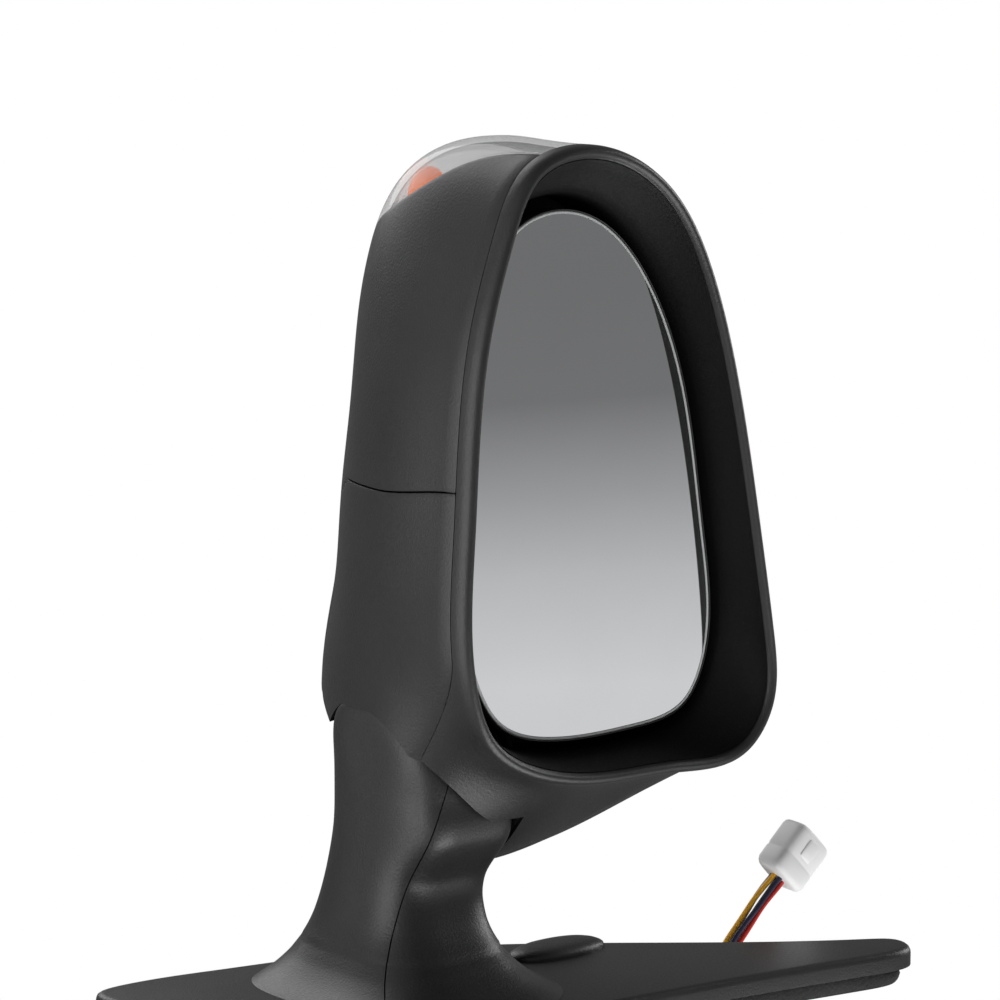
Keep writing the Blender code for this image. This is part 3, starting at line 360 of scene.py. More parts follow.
BLACK = grained("satin_black_plastic", (0.021, 0.021, 0.022), 0.38, grain=0.75, depth=0.10)
# A darker, duller copy of the satin black plastic, with its gloss turned down: painted shade. It goes on the
# hood inside the rim and, through the cutters, on the walls of the gaps round the arm's nose and between the
# arm's covers.
SHADED_BLACK = grained("black_plastic_painted_shade", (0.003, 0.003, 0.003), 0.6, grain=0.9, depth=0.08)
shader_of(SHADED_BLACK)["Specular IOR Level"].default_value = 0.2
GROUND_EDGE = grained("ground_glass_edge", (0.48, 0.49, 0.49), 0.3, grain=0.6, depth=0.01, vary=0.03)
INNER = grained("inner_black_plastic", (0.012, 0.012, 0.012), 0.55, grain=0.6, depth=0.03)
CLEAR = clear_material()
SILVER = grained("silvered_glass", (0.86, 0.87, 0.88), 0.02, grain=6.0, depth=0.0, vary=0.01, metallic=1.0,
                 rough_vary=0.008)
REFLECTOR = grained("light_grey_reflector", (0.45, 0.45, 0.46), 0.22, grain=1.5, depth=0.01, vary=0.05)
# The amber bulb is given a faint emission of its own: a painted glow, for no lamp is lit inside it.
AMBER_PAINTED_GLOW = grained("amber_bulb", (1.0, 0.24, 0.012), 0.25, grain=1.0, depth=0.01, vary=0.1)
shader_of(AMBER_PAINTED_GLOW)["Emission Color"].default_value = (1.0, 0.16, 0.01, 1.0)
shader_of(AMBER_PAINTED_GLOW)["Emission Strength"].default_value = 0.55
SOCKET = grained("socket_grey", (0.05, 0.05, 0.05), 0.5, grain=0.5)
STEEL = grained("zinc_plated_steel", (0.58, 0.57, 0.53), 0.32, grain=0.8, depth=0.01, vary=0.1, metallic=1.0)
ALLOY = grained("cast_aluminium", (0.46, 0.47, 0.48), 0.5, grain=0.9, depth=0.08, vary=0.1, metallic=0.9)
NYLON = grained("glass_filled_nylon", (0.03, 0.03, 0.032), 0.55, grain=0.5, depth=0.04)
ACETAL = grained("white_acetal", (0.75, 0.75, 0.71), 0.4, grain=0.8, depth=0.01, vary=0.05)
WHITE = grained("white_nylon", (0.86, 0.86, 0.86), 0.42, grain=0.5, depth=0.02, vary=0.03)
FOAM = grained("black_foam", (0.022, 0.022, 0.022), 0.92, grain=1.1, depth=0.4, vary=0.25)
RUBBER = grained("black_rubber", (0.02, 0.02, 0.02), 0.75, grain=0.7, depth=0.05)
LEAD_COLOURS = {"lead_red": (0.50, 0.02, 0.012), "lead_black": (0.012, 0.012, 0.012),
                "lead_grey": (0.16, 0.13, 0.15), "lead_yellow": (0.85, 0.42, 0.02),
                "lead_blue": (0.02, 0.02, 0.05)}
CARRIED = {"adhesive_pad": FOAM, "adjuster_case": INNER, "adjuster_cover": INNER, "adjuster_motor_1": STEEL,
           "adjuster_motor_2": STEEL, "adjuster_screw_1": STEEL, "adjuster_screw_2": STEEL,
           "adjuster_screw_3": STEEL, "bulb_socket": SOCKET, "cable_grommet": RUBBER, "detent_ring": STEEL,
           "drive_gear_horizontal": ACETAL, "drive_gear_vertical": ACETAL, "fold_spring": STEEL,
           "foot_bracket": ALLOY, "head_frame": NYLON, "pivot_post": STEEL, "spindle_horizontal": ACETAL,
           "spindle_vertical": ACETAL, "spring_retainer": STEEL, "tilt_ring": INNER}


# ---------------------------------------------------------------- pieces

def add_piece(name, points, faces, finish, body, nodes=(), smooth=40):
    """Mesh from points in millimetres, which rides on a body and stands for CAD nodes."""
    mesh = bpy.data.meshes.new(name)
    mesh.from_pydata([tuple(float(c) * MM for c in p) for p in points], [], faces)
    work = bmesh.new()
    work.from_mesh(mesh)
    bmesh.ops.remove_doubles(work, verts=work.verts, dist=1e-7)
    bmesh.ops.recalc_face_normals(work, faces=work.faces)
    work.to_mesh(mesh)
    work.free()
    mesh.shade_smooth()
    mesh.set_sharp_from_angle(angle=math.radians(smooth))
    mesh.materials.append(finish)
    made = bpy.data.objects.new(name, mesh)
    bpy.context.scene.collection.objects.link(made)
    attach(made, body)
    if nodes:
        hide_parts(*nodes)
    return made


def ring_faces(rows, columns, wrap_rows=False):
    faces = []
    for i in range(rows if wrap_rows else rows - 1):
        n = (i + 1) % rows
        for j in range(columns):
            k = (j + 1) % columns
            faces.append((i * columns + j, i * columns + k, n * columns + k, n * columns + j))
    return faces


def loft(name, rings, finish, body, nodes=(), smooth=40):
    """Closed solid through rings of equal length, with flat ends."""
    columns = len(rings[0])
    points = [p for ring in rings for p in ring]
    faces = ring_faces(len(rings), columns)
    faces.append(tuple(range(columns)))
    faces.append(tuple(range(len(points) - columns, len(points))))
    return add_piece(name, points, faces, finish, body, nodes, smooth)


def hoop(name, sections, finish, body, nodes=(), smooth=40):
    """Closed ring-shaped solid: one closed profile per station, in order round the ring."""
    columns = len(sections[0])
    points = [p for section in sections for p in section]
    return add_piece(name, points, ring_faces(len(sections), columns, True), finish, body, nodes, smooth)


def everywhere(row, column):
    return True


def shell(name, outer, inner, keep, wrap, finish, body, nodes, end_wall=True):
    """Closed shell between two grids of points, over the cells that keep allows."""
    rows, columns = outer.shape[:2]
    points = list(outer.reshape(-1, 3)) + list(inner.reshape(-1, 3))
    far = rows * columns
    last = columns if wrap else columns - 1
    cells = {(i, j) for i in range(rows - 1) for j in range(last) if keep(i, j)}
    faces = []

    def index(i, j):
        return i * columns + j % columns

    def wall(a, b):
        faces.append((a, b, b + far, a + far))

    for i, j in sorted(cells):
        a, b, c, d = index(i, j), index(i, j + 1), index(i + 1, j + 1), index(i + 1, j)
        faces.append((a, b, c, d))
        faces.append((d + far, c + far, b + far, a + far))
        before = (i, (j - 1) % columns if wrap else j - 1)
        after = (i, (j + 1) % columns if wrap else j + 1)
        if (i - 1, j) not in cells:
            wall(b, a)
        if (i + 1, j) not in cells and (end_wall or i < rows - 2):
            wall(d, c)
        if before not in cells:
            wall(a, d)
        if after not in cells:
            wall(c, b)
    used = sorted({k for face in faces for k in face})
    fresh = {k: n for n, k in enumerate(used)}
    return add_piece(name, [points[k] for k in used], [tuple(fresh[k] for k in f) for f in faces],
                     finish, body, nodes)


def turned(name, base, axis, profile, finish, body, nodes=(), count=48, smooth=40):
    """Turned solid along an axis; the profile lists (distance, radius)."""
    stations = []
    for k in range(count):
        angle = 2 * math.pi * k / count
        section = []
        for along, radius in profile:
            a = radius * math.cos(angle)
            b = radius * math.sin(angle)
            offset = {"X": (along, a, b), "Y": (a, along, b), "Z": (a, b, along)}[axis]
            section.append([base[n] + offset[n] for n in range(3)])
        stations.append(section)
    return loft(name, [list(r) for r in zip(*stations)], finish, body, nodes, smooth)


def soften(piece, width):
    """Small radius on the sharp edges."""
    step = piece.modifiers.new("edge radius", "BEVEL")
    step.width = width * MM
    step.segments = 2
    step.limit_method = "ANGLE"
    step.angle_limit = math.radians(50)
    step.harden_normals = False


def apply_modifiers(piece):
    """Makes the evaluated mesh the piece's own mesh."""
    depsgraph = bpy.context.evaluated_depsgraph_get()
    mesh = bpy.data.meshes.new_from_object(piece.evaluated_get(depsgraph))
    piece.modifiers.clear()
    piece.data = mesh
    mesh.set_sharp_from_angle(angle=math.radians(40))


def cut(piece, tool, operation="DIFFERENCE"):
    """Cuts the piece with the tool, whose material stays on the cut faces."""
    step = piece.modifiers.new(operation.lower(), "BOOLEAN")
    step.operation = operation
    step.solver = "EXACT"
    step.material_mode = "TRANSFER"
    step.object = tool


def drop(tool):
    bpy.data.objects.remove(tool, do_unlink=True)


# ---------------------------------------------------------------- head shells

def section_shrink(t, depth):
    """Size of the head's section at a depth, as a share of its size at the seam."""
    power = SIDE_POWER + (END_POWER - SIDE_POWER) * np.cos(2 * np.pi * t) ** 4
    return np.maximum(0.0, 1 - depth ** power) ** (1 / power)


def head_points(t, depth, inset=0.0):
    """The head's skin: depth 0 is the seam plane and 1 the front of the head."""
    t, depth, inset = np.broadcast_arrays(*(np.asarray(given, float) for given in (t, depth, inset)))
    full = FULLNESS * bump(t, UNDERSIDE, 0.24) * smooth_step(depth / 0.45)
    inset = inset - full
    mix = smooth_step(depth / (MIDDLE_DEPTH - 0.15 * bump(t, FLARE, 0.11)))[..., None]
    outline = loop_inset(RIM_LOOP, t, inset) * (1 - mix) + loop_inset(MIDDLE_LOOP, t, inset) * mix
    flat = POLE + (outline - POLE) * section_shrink(t, depth)[..., None]
    y = SEAM_Y + depth * (FRONT_Y + FRONT_SLOPE * (flat[..., 0] - POLE[0]) - (inset + full) - SEAM_Y)
    return np.stack([flat[..., 0], y, flat[..., 1]], axis=-1)


def seam_depth(t):
    """The seam runs forward along the inboard face, so that the bezel meets the arm."""
    t = np.asarray(t, float) % 1.0
    rise = smooth_step((t - CROWN) / CROWN_REACH)
    fall = smooth_step((CHEEK + CHEEK_REACH - t) / CHEEK_REACH)
    return CHEEK_DEPTH * rise * fall


def front_depth(row, start):
    """Depth of a row of the front shells; the rows crowd together towards the front."""
    angle = np.asarray(row) / ROWS * math.pi / 2
    return start + (1 - start) * np.sin(angle) ** 0.8


def warped(even, depth):
    """Loop fraction of a column, led along the seams of the lens and the lower cover."""
    side = LENS_HALF / COLUMNS
    low = -0.020 - 0.042 * smooth_step(depth / 0.75) + side
    high = 0.022 + 0.045 * smooth_step(depth / 0.75) - side
    shift = low * bump(even, -side, 0.095) + high * bump(even, side, 0.095)
    shrink = np.maximum(section_shrink(np.full_like(depth, COVER_SEAM_T), depth), 0.4)
    straight = (COVER_SEAM_X - POLE[0]) * (1 / shrink - 1) / 560.0
    return even + shift - straight * bump(even, COVER_SEAM_T, 0.06)


def front_grid(inset):
    """Skin of the front shells, a row per step from the seam to the front of the head."""
    even = np.arange(COLUMNS) / COLUMNS
    even = np.where(even > 0.5, even - 1.0, even)
    rows = []
    for row in range(ROWS + 1):
        t = warped(even, front_depth(row, seam_depth(even) + SHELL_START))
        rows.append(head_points(t, front_depth(row, seam_depth(t) + SHELL_START), inset))
    return np.array(rows)


def column_of(t):
    return int(round((t % 1.0) * COLUMNS))


def in_lens(row, column):
    return row < LENS_END and (column >= COLUMNS - LENS_HALF or column < LENS_HALF)


def cover_edge(row):
    """Last column of the lower cover in a row; its outer corner is cut off at an angle."""
    short = max(0, row - (COVER_LAST - COVER_CORNER_ROWS) + 1)
    return column_of(COVER_SEAM_T) - short


def in_cover(row, column):
    return row < COVER_LAST and column_of(COVER_FIRST) <= column < cover_edge(row)


def pulled(grid, keep):
    """The closed grid with the border of the kept cells drawn inwards, for an even gap."""
    rows, columns = grid.shape[:2]
    kept = np.array([[keep(i, j) for j in range(columns)] for i in range(rows - 1)])
    moved = grid.copy()
    for i in range(rows):
        for j in range(columns):
            around = [(a, b) for a, b in ((i - 1, j - 1), (i - 1, j), (i, j - 1), (i, j))
                      if 0 <= a < rows - 1 and kept[a, b % columns]]
            if not around or len(around) == 4:
                continue
            if i in (0, rows - 1) and len(around) == 2:
                continue
            corners = []
            for a, b in around:
                corners.append(grid[[a, a, a + 1, a + 1], [b % columns, (b + 1) % columns] * 2].mean(axis=0))
            inside = np.mean(corners, axis=0) - grid[i, j]
            length = np.linalg.norm(inside)
            if length > 1e-6:
                moved[i, j] = grid[i, j] + inside / length * min(SHELL_GAP, 0.8 * length)
    return moved


def make_swing_cutter():
    """Room for the nose and, inboard of it, for the arm when the head folds."""
    spread = REAR_SPREAD + FRONT_SPREAD
    rings = []
    for z, near in SWING + ((HEAD_FLOOR, SWING[-1][1]),):
        places = [(near, -REAR_SPREAD + spread * k / 96) for k in range(97)]
        places += [(SWING_REACH, FRONT_SPREAD + (2 * math.pi - spread) * k / 16) for k in range(17)]
        rings.append([(FOLD_X - radius * math.cos(angle), radius * math.sin(angle), z)
                      for radius, angle in places])
    # Its darkened black passes to the walls that it cuts: painted shade in the gap round the nose.
    return loft("swing_cutter", rings, SHADED_BLACK, "base")


def make_front_shells(cutter):
    """Front cap and lower cover, which share one skin and leave the lens free."""
    outer = front_grid(0.0)
    inner = front_grid(SHELL_WALL)

    def in_cap(row, column):
        return not in_lens(row, column) and not in_cover(row, column)

    for name, keep in (("front_cap", in_cap), ("lower_cover", in_cover)):
        piece = shell(name + "_skin", pulled(outer, keep), pulled(inner, keep), keep, True, BLACK, "head",
                      [name])
        soften(piece, 0.35)
        cut(piece, cutter)
        apply_modifiers(piece)


def make_signal_lamp():
    """Clear lens round the tip, its ribbed reflector and the amber bulb."""
    even = np.arange(-LENS_HALF, LENS_HALF + 0.5, 0.5) / COLUMNS

    def patch(inset, ribs=0.0, trim=0.004, span=(0.0, LENS_END)):
        rows = []
        for row in np.arange(span[0], span[1] + 0.5, 0.5):
            depth = front_depth(row, np.full(len(even), SHELL_START))
            t = warped(even, depth)
            middle = t.mean()
            t = middle + (t - middle) * (1 - trim)
            wave = ribs * np.sin(t * 2 * math.pi * REFLECTOR_RIBS)
            rows.append(head_points(t, np.clip(depth, 0.012, 1), inset + wave))
        return np.array(rows)

    lens = shell("lens_clear", patch(0.0), patch(LENS_WALL), everywhere, False, CLEAR, "head", ["signal_lens"])
    soften(lens, 0.4)
    apply_modifiers(lens)
    faces = [patch(inset, REFLECTOR_RIB, REFLECTOR_TRIM, REFLECTOR_ROWS) for inset in REFLECTOR_INSETS]
    shell("lamp_reflector", *faces, everywhere, False, REFLECTOR, "head", ["signal_housing"])
    turned("amber_bulb", BULB_AT, "X", BULB, AMBER_PAINTED_GLOW, "head", ["signal_bulb"])


def in_plane(flat, y):
    """Points (x, z) put in the plane of constant y."""
    return np.stack([flat[..., 0], np.full(len(flat), y), flat[..., 1]], axis=-1)


def ring_solid(name, rows, finish, body, nodes=(), smooth=40):
    """Hoop whose section runs through the rows, each of them a closed line round the ring."""
    return hoop(name, [list(section) for section in zip(*rows)], finish, body, nodes, smooth)


def hood_points(t, y, thick):
    """Points of the hood, which leads from the rim's lip to the edge of the glass unit."""
    share = smooth_step(min(1.0, (y - HOOD_START_Y) / (HOOD_END_Y - HOOD_START_Y))) ** 0.8
    lip = loop_inset(RIM_LOOP, t, LIP_INSET - thick)
    end = loop_inset(GLASS_LOOP, t, -HOOD_CLEAR - thick)
    return in_plane(lip * (1 - share) + end * share, y)


def rim_roll():
    """Section of the rolled rim as (inset, share of its depth): a tight outer and a softer inner radius."""
    outer = [(ROLL_OUTER * (1 - math.cos(a)), 0.15 + 0.85 * math.sin(a) ** 0.8)
             for a in np.linspace(0, math.pi / 2, 9)]
    inner = [(ROLL_OUTER + (LIP_INSET - 0.1 - ROLL_OUTER) * math.sin(a), 0.35 + 0.65 * math.cos(a))
             for a in np.linspace(0, math.pi / 2, 8)[1:]]
    return outer + inner


def make_bezel(cutter):
    """Rolled rim with the skirt up to the seam, and inside it the hood round the glass."""
    t = np.arange(COLUMNS) / COLUMNS
    edge = seam_depth(t)
    rows = [head_points(t, edge * share, 0.0) for share in np.linspace(1, 0, 14)]
    for inset, part in rim_roll() + [(LIP_INSET / 2, 0.5)]:
        rows.append(in_plane(loop_inset(RIM_LOOP, t, inset), SEAM_Y + (RIM_Y - SEAM_Y) * part))
    rows += [head_points(t, edge * share, SHELL_WALL) for share in np.linspace(0, 1, 8)]
    rim = ring_solid("bezel_skin", rows, BLACK, "head", ["bezel"], smooth=50)
    cut(rim, cutter)
    apply_modifiers(rim)
    depths = list(np.linspace(HOOD_START_Y, HOOD_END_Y, 18)) + [HOOD_BACK_Y]
    rows = [hood_points(t, y, HOOD_SKIN) for y in depths]
    inward = loop_inset(GLASS_LOOP, t, HOOD_FLANGE)
    rows += [in_plane(inward, y) for y in (HOOD_BACK_Y, HOOD_BACK_Y + HOOD_WALL)]
    rows += [hood_points(t, y, HOOD_WALL) for y in [HOOD_BACK_Y + HOOD_WALL] + depths[-2::-5]]
    # The hood takes the darker, duller copy of the bezel's plastic: painted shade in the recess round the
    # glass.
    hood = ring_solid("bezel_hood", rows, SHADED_BLACK, "head")
    cut(hood, cutter)
    apply_modifiers(hood)


def make_head_floor():
    """Closed underside of the head over the arm, flush with the bezel and the front cap."""
    levels = []
    for z in (HEAD_FLOOR + 0.05, HEAD_FLOOR + 1.6):
        reach = []
        for depth in np.linspace(0.06, 0.9, 46):
            near = head_points(INBOARD, np.full(len(INBOARD), depth), SHELL_WALL * 0.6)
            point = near[np.argmin(np.abs(near[:, 2] - z))]
            reach.append((point[0], point[1], z))
        levels.append(reach + [(x, reach[-1][1] if y is None else y, z) for x, y in FLOOR_OUTLINE]
                      + [(FLOOR_OUTLINE[-1][0], reach[0][1], z)])
    loft("head_floor", levels, BLACK, "head")


# ---------------------------------------------------------------- glass unit

def dished(inset, y, shares, columns=192):
    """Rings of a domed face inside the glass outline."""
    t = np.arange(columns) / columns
    flat = loop_inset(GLASS_LOOP, t, np.full(columns, inset))
    rings = []
    for share in shares:
        spot = TILT + (flat - TILT) * share
        away = np.linalg.norm(spot - TILT, axis=1)
        bow = (GLASS_REACH ** 2 - np.minimum(away, GLASS_REACH) ** 2) / (2 * GLASS_RADIUS)
        rings.append(list(in_plane(spot, y - bow)))
    return rings


def make_glass():
    """Convex mirror with ground edges."""
    inward = list(np.linspace(1, 0.02, 26)) + [0.0001]
    rings = dished(1.3, GLASS_Y + 2.0, inward)[::-1] + dished(1.2, GLASS_Y + 1.7, (1.0,))
    rings += dished(1.2, GLASS_Y + 0.35, (1.0,)) + dished(1.55, GLASS_Y, inward)
    loft("mirror_face", rings, SILVER, "glass", ["mirror_glass"], smooth=25)
    rings = [dished(inset, GLASS_Y + y, (1.0,))[0] for inset, y in GLASS_EDGE]
    ring_solid("mirror_edge", rings, GROUND_EDGE, "glass", smooth=60)


def make_holder():
    """Tray behind the glass, with a rolled bead round its edge and the boss of the tilt joint."""
    floor = GLASS_Y + TRAY_FLOOR
    back = floor + TRAY_WALL
    inward = list(np.linspace(1, 0.05, 12)) + [0.0001]
    rings = dished(0.8, back, inward)[::-1] + dished(0.0, back - 1.2, (1.0,))
    rings += dished(0.0, GLASS_Y + 0.1, (1.0,))
    for k in range(7):
        a = math.pi * k / 6
        rings += dished(0.22 - 0.22 * math.cos(a), GLASS_Y - 0.25 - 0.25 * math.sin(a), (1.0,))
    rings += dished(0.45, floor, inward)
    loft("glass_tray", rings, INNER, "glass", ["glass_holder"])
    bow = GLASS_REACH ** 2 / (2 * GLASS_RADIUS)
    profile = [(back - bow - 0.6, 10.0), (-28.6, 9.6), (-27.4, 8.6), (-27.2, 4.0)]
    turned("tray_boss", (TILT[0], 0.0, TILT[1]), "Y", profile, INNER, "glass")


# ---------------------------------------------------------------- arm and foot

def arm_size(x):
    """Reach of the arm's section to the rear, front, top and bottom, and the squareness of its top."""
    places = [row[0] for row in ARM_SECTIONS]
    near = x + np.linspace(-5.0, 5.0, 21) * (1.0 if x < -26.0 else 0.25)
    return [float(np.interp(near, places, [row[k] for row in ARM_SECTIONS]).mean()) for k in range(1, 6)]


def arm_section(x, inset, columns, turn=0.0):
    """Section of the arm as (y, z); turn swings it round the nose towards the outboard side."""
    rear, front, top, bottom, square = arm_size(x)
    low = BOTTOM_POWER + (EDGE_POWER - BOTTOM_POWER) * math.sin(turn) ** 2
    ring = []
    for k in range(columns):
        angle = 2 * math.pi * k / columns
        c, s = power_curve(angle, square if math.sin(angle) > 0 else low)
        ring.append(((front if c > 0 else rear) * c - math.copysign(inset, c) * abs(c),
                     ARM_Z + (top if s > 0 else bottom) * s - inset * s))
    return ring


def arm_grid(inset, columns=200):
    """The arm's skin from the foot to the tip of the nose."""
    rings = []
    for x in np.linspace(ARM_ROOT_X, FOLD_X, 60):
        rings.append([(x, y, z) for y, z in arm_section(x, inset, columns)])
    rear, front = arm_size(FOLD_X)[:2]
    for step in range(1, 37):
        turn = step / 36 * math.pi / 2
        ring = []
        for y, z in arm_section(FOLD_X, inset, columns, turn):
            side, reach = (rear, 2.0) if y < 0 else (front, 3.2)
            c, s = power_curve(turn, reach)
            ring.append((FOLD_X - (rear - inset) * abs(y) / (side - inset) * s, y * c, z))
        rings.append(ring)
    return np.array(rings)


def seam_block(upper):
    """Block on one side of the seam between the arm's covers."""
    along = SEAM_NORMAL.orthogonal().normalized()
    across = SEAM_NORMAL.cross(along)
    side = 1.0 if upper else -1.0
    low = []
    for a, b in ((-1, -1), (1, -1), (1, 1), (-1, 1)):
        low.append(SEAM_POINT + (along * a + across * b) * SEAM_REACH + SEAM_NORMAL * side * SEAM_GAP / 2)
    high = [p + SEAM_NORMAL * side * SEAM_REACH for p in low]
    # Its darkened black passes to the faces along the seam: painted shade in the gap between the covers.
    return loft("seam_block", [[tuple(p) for p in low], [tuple(p) for p in high]], SHADED_BLACK, "base")


def make_arm():
    """Lower and rear cover: one skin, parted by the seam."""
    outer = arm_grid(0.0)
    inner = arm_grid(ARM_WALL)
    bore = turned("nose_bore", (FOLD_X, 0.0, 0.0), "Z", [(8.0, NOSE_BORE), (30.0, NOSE_BORE)], INNER, "base")
    for name, upper in (("arm_lower_cover", False), ("arm_rear_cover", True)):
        piece = shell(name + "_skin", outer, inner, everywhere, True, BLACK, "base", [name], end_wall=False)
        block = seam_block(upper)
        cut(piece, block, "INTERSECT")
        cut(piece, bore)
        apply_modifiers(piece)
        drop(block)
    drop(bore)


def foot_ring(inset, x, share=1.0, columns=240):
    """The foot's outline in a plane of constant x, inset and then scaled about its middle."""
    middle = np.array([-15.0, 15.0])
    flat = loop_inset(FOOT_LOOP, np.arange(columns) / columns, np.full(columns, inset))
    flat = middle + (flat - middle) * share
    return list(np.stack([np.full(columns, x), flat[:, 0], flat[:, 1]], axis=-1))


def make_sail_cover():
    """Shallow lid over the foot bracket, with a rolled edge."""
    rings = [foot_ring(inset, x) for inset, x in SAIL_ROLL + SAIL_INSIDE]
    columns = len(rings[0])
    points = [p for ring in rings for p in ring]
    last = len(SAIL_ROLL) - 1
    faces = [f for f in ring_faces(len(rings), columns, True) if f[0] // columns != last]
    faces.append(tuple(range(last * columns, (last + 1) * columns)))
    faces.append(tuple(range((last + 1) * columns, (last + 2) * columns)))
    cover = add_piece("sail_cover_skin", points, faces, BLACK, "base", ["sail_cover"])
    window = [[(x, y, z) for y, z in arm_section(ARM_ROOT_X, 9.0, 64)] for x in (-30.0, 0.0)]
    tool = loft("core_window", window, INNER, "base")
    cut(cover, tool)
    apply_modifiers(cover)
    drop(tool)


def make_sail_plug():
    """Oval blanking plug beside the arm."""
    oval = [power_curve(2 * math.pi * k / 96, 2.2) for k in range(96)]
    rings = []
    for rise, share in PLUG:
        rings.append([(FOOT_OUTER_X + rise, PLUG_MIDDLE[0] + PLUG_HALF[0] * share * c,
                       PLUG_MIDDLE[1] + PLUG_HALF[1] * share * s) for c, s in oval])
    loft("sail_plug_skin", rings, BLACK, "base", ["sail_plug"])


def make_gasket():
    """Foam frame between the foot's edge and the door, slightly bulged."""
    ring_solid("gasket_foam", [foot_ring(0.0, x, share) for share, x in GASKET], FOAM, "base", ["foam_gasket"])


def make_studs():
    """Threaded studs with collars."""
    for number, (y, z) in enumerate(STUDS, 1):
        profile = [(0.35, 6.5), (2.1, 6.5), (2.4, 6.1), (2.4, 2.6)]
        along = 3.0
        while along < 20.6:
            profile += [(along, 2.55), (along + STUD_PITCH / 2, 3.0)]
            along += STUD_PITCH
        profile += [(21.0, 2.6), (22.0, 2.0)]
        name = "stud_%d" % number
        turned(name + "_thread", (0.0, y, z), "X", profile, STEEL, "base", [name], count=32, smooth=30)


# ---------------------------------------------------------------- leads

def lead_middle(pieces=12):
    """Smooth line through the knots of the bundle."""
    points = [Vector(k) for k in LEAD_KNOTS]
    path = []
    for i in range(len(points) - 1):
        before = points[max(i - 1, 0)]
        after = points[min(i + 2, len(points) - 1)]
        m0 = (points[i + 1] - before) / 2
        m1 = (after - points[i]) / 2
        for k in range(pieces):
            u = k / pieces
            path.append(points[i] * (2 * u ** 3 - 3 * u ** 2 + 1) + m0 * (u ** 3 - 2 * u ** 2 + u)
                        + points[i + 1] * (3 * u ** 2 - 2 * u ** 3) + m1 * (u ** 3 - u ** 2))
    path.append(points[-1])
    return path


def frames(path):
    """Two directions across the path at each of its points."""
    side = Vector((0, 0, 1))
    found = []
    for i in range(len(path)):
        ahead = (path[min(i + 1, len(path) - 1)] - path[max(i - 1, 0)]).normalized()
        side = (side - ahead * side.dot(ahead)).normalized()
        found.append((side.copy(), ahead.cross(side)))
    return found


def make_leads():
    """The leads, twisted a little round each other."""
    middle = lead_middle()
    around = frames(middle)
    for number, (name, colour) in enumerate(LEAD_COLOURS.items()):
        path = []
        for i, (side, up) in enumerate(around):
            turn = math.radians(72.0 * number + 60.0 * i / len(middle))
            spread = BUNDLE_RADIUS * (1 + 0.12 * math.sin(i * 0.35 + number))
            path.append(middle[i] + side * spread * math.cos(turn) + up * spread * math.sin(turn))
        rings = []
        for point, (side, up) in zip(path, frames(path)):
            rings.append([tuple(point + side * LEAD_RADIUS * math.cos(a) + up * LEAD_RADIUS * math.sin(a))
                          for a in np.linspace(0, 2 * math.pi, 20, endpoint=False)])
        finish = grained(name + "_insulation", colour, 0.38, grain=0.9, depth=0.01, vary=0.1)
        loft(name + "_cord", rings, finish, "base", [name])


def make_connector():
    """White connector housing with rounded edges and a latch."""
    ahead = (Vector(LEAD_KNOTS[-1]) - Vector(LEAD_KNOTS[-2])).normalized()
    side = ahead.cross(Vector((0, 1, 0))).normalized()
    up = ahead.cross(side)
    start = Vector(LEAD_KNOTS[-1]) - ahead * 0.5

    def ring(along, share, power=5.0, wide=9.0, thick=6.0, lift=0.0):
        made = []
        for k in range(80):
            a, b = power_curve(2 * math.pi * k / 80, power)
            made.append(tuple(start + ahead * along + side * a * wide * share
                              + up * (b * thick * share + lift)))
        return made

    loft("connector_housing", [ring(along, share) for along, share in CONNECTOR], WHITE, "base", ["connector"])
    latch = [ring(along, 1.0, 3.5, 3.0, 0.7, 5.9 + rise) for along, rise in LATCH]
    loft("connector_latch", latch, WHITE, "base")


# ---------------------------------------------------------------- stage

def view_matrix(place, back, up):
    """Placement of a camera or a lamp that looks against the direction back."""
    right = up.cross(back).normalized()
    up = back.cross(right).normalized()
    made = Matrix((right, up, back)).transposed().to_4x4()
    made.translation = place
    return made


def make_camera():
    data = bpy.data.cameras.new("camera")
    data.lens = LENS_LENGTH
    data.sensor_width = 36.0
    data.clip_start = 0.05
    data.clip_end = 20.0
    camera = bpy.data.objects.new("camera", data)
    bpy.context.scene.collection.objects.link(camera)
    camera.matrix_world = view_matrix(VIEW_TARGET + VIEW_FROM * VIEW_DISTANCE, VIEW_FROM, VIEW_UP)
    bpy.context.scene.camera = camera


def make_area_light(name, direction, distance, size, power):
    """Soft light that faces the object, placed at a distance along a direction from it."""
    data = bpy.data.lights.new(name, "AREA")
    data.shape = "RECTANGLE"
    data.size, data.size_y = size
    data.energy = power
    lamp = bpy.data.objects.new(name, data)
    bpy.context.scene.collection.objects.link(lamp)
    back = Vector(direction).normalized()
    up = Vector((0, 0, 1)) if abs(back.z) < 0.9 else Vector((1, 0, 0))
    lamp.matrix_world = view_matrix(VIEW_TARGET + back * distance, back, up)
    lamp.visible_camera = False


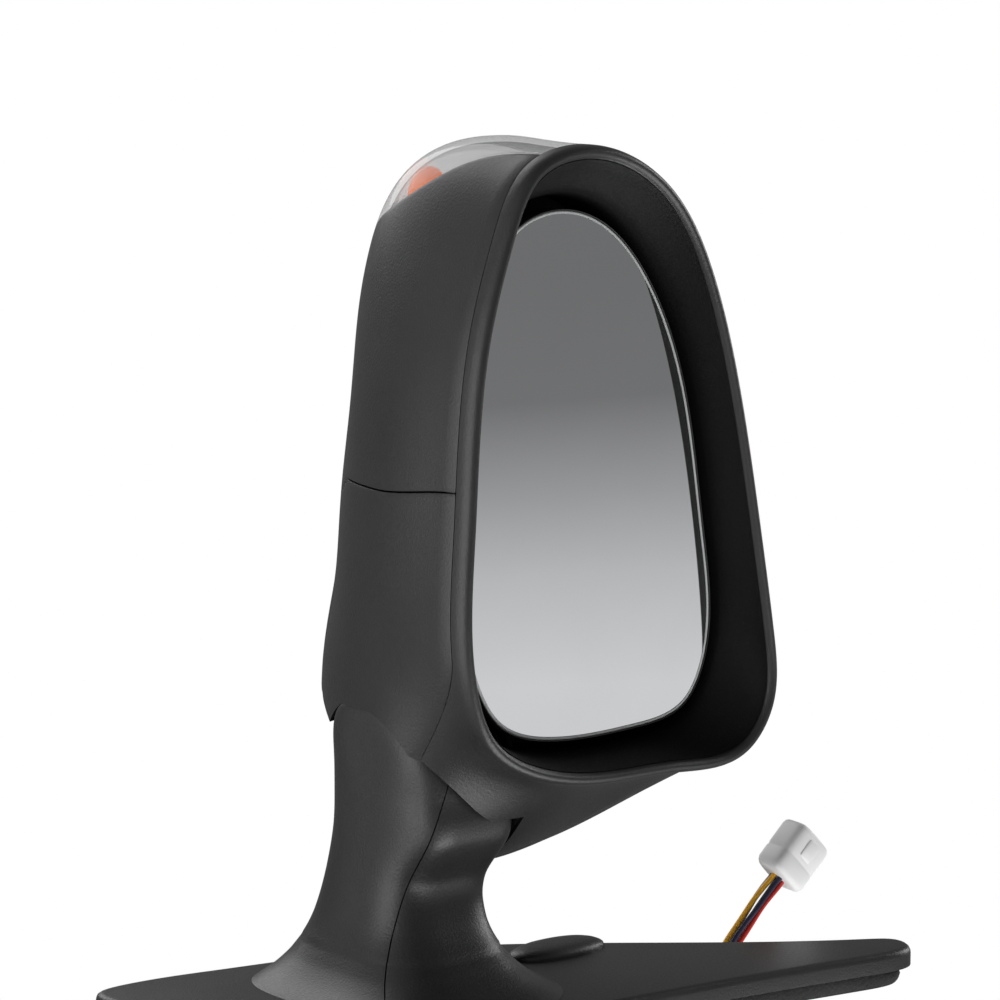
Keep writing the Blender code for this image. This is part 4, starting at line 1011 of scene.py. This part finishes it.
def make_world():
    """White studio behind the object; glossy surfaces see a dim room with a screen that fades to light."""
    world = bpy.data.worlds.new("studio")
    world.use_nodes = True
    bpy.context.scene.world = world
    nodes = Nodes(world.node_tree)
    world.node_tree.nodes.clear()
    place = nodes.add("ShaderNodeTexCoord")
    parts = nodes.add("ShaderNodeSeparateXYZ")
    nodes.link(place.outputs["Generated"], parts.inputs["Vector"])
    spread = nodes.add("ShaderNodeMapRange")
    spread.inputs["From Min"].default_value = SCREEN_DARK
    spread.inputs["From Max"].default_value = SCREEN_LIGHT
    nodes.link(parts.outputs["X"], spread.inputs["Value"])
    ramp = nodes.add("ShaderNodeValToRGB")
    stops = ramp.color_ramp.elements
    for place_on, level in SCREEN_STOPS[1:-1]:
        stops.new(place_on)
    for stop, (place_on, level) in zip(stops, SCREEN_STOPS):
        stop.position = place_on
        stop.color = (level, level, level * 1.01, 1)
    nodes.link(spread.outputs["Result"], ramp.inputs["Fac"])
    toward = nodes.add("ShaderNodeVectorMath", operation="DOT_PRODUCT")
    toward.inputs[1].default_value = SCREEN_AT
    nodes.link(place.outputs["Generated"], toward.inputs[0])
    edge = nodes.add("ShaderNodeMapRange", interpolation_type="SMOOTHSTEP")
    edge.inputs["From Min"].default_value, edge.inputs["From Max"].default_value = SCREEN_FADE
    nodes.link(toward.outputs["Value"], edge.inputs["Value"])
    screen = nodes.add("ShaderNodeMix", data_type="RGBA")
    room, lit = [socket for socket in screen.inputs if socket.type == "RGBA"]
    room.default_value = (ROOM_LEVEL, ROOM_LEVEL, ROOM_LEVEL, 1)
    nodes.link(edge.outputs["Result"], screen.inputs[0])
    nodes.link(ramp.outputs["Color"], lit)
    glow = nodes.add("ShaderNodeBackground", Strength=1.0)
    nodes.link([socket for socket in screen.outputs if socket.type == "RGBA"][0], glow.inputs["Color"])
    seen = nodes.add("ShaderNodeBackground", Color=(1, 1, 1, 1), Strength=1.0)
    path = nodes.add("ShaderNodeLightPath")
    mix = nodes.add("ShaderNodeMixShader")
    out = nodes.add("ShaderNodeOutputWorld")
    nodes.link(path.outputs["Is Camera Ray"], mix.inputs["Fac"])
    nodes.link(glow.outputs["Background"], mix.inputs[1])
    nodes.link(seen.outputs["Background"], mix.inputs[2])
    nodes.link(mix.outputs["Shader"], out.inputs["Surface"])


def make_floor():
    """Pale floor well below the object."""
    mesh = bpy.data.meshes.new("floor")
    corners = ((-1, -1), (1, -1), (1, 1), (-1, 1))
    mesh.from_pydata([(x * FLOOR_HALF, y * FLOOR_HALF, FLOOR_Z) for x, y in corners], [], [(0, 1, 2, 3)])
    finish = grained("pale_floor", (0.82, 0.82, 0.82), 0.8, grain=8.0, depth=0.05, vary=0.01)
    nodes = Nodes(finish.node_tree)
    shader_of(finish)["Emission Color"].default_value = (1.0, 1.0, 1.0, 1.0)
    path = nodes.add("ShaderNodeLightPath")
    glow = nodes.add("ShaderNodeMath", operation="MULTIPLY")
    glow.inputs[1].default_value = FLOOR_GLOW
    nodes.link(path.outputs["Is Camera Ray"], glow.inputs[0])
    nodes.link(glow.outputs["Value"], shader_of(finish)["Emission Strength"])
    mesh.materials.append(finish)
    floor = bpy.data.objects.new("floor", mesh)
    bpy.context.scene.collection.objects.link(floor)


# ---------------------------------------------------------------- scene

def build():
    cutter = make_swing_cutter()
    make_front_shells(cutter)
    make_bezel(cutter)
    make_head_floor()
    drop(cutter)
    make_signal_lamp()
    make_glass()
    make_holder()
    make_arm()
    make_sail_cover()
    make_sail_plug()
    make_gasket()
    make_studs()
    make_leads()
    make_connector()
    for name, finish in CARRIED.items():
        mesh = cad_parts[name].data
        mesh.materials.clear()
        mesh.materials.append(finish)
    bpy.context.scene.view_settings.view_transform = "Standard"
    make_floor()
    make_camera()
    make_world()
    for name, light in LIGHTS.items():
        make_area_light(name, *light)


build()
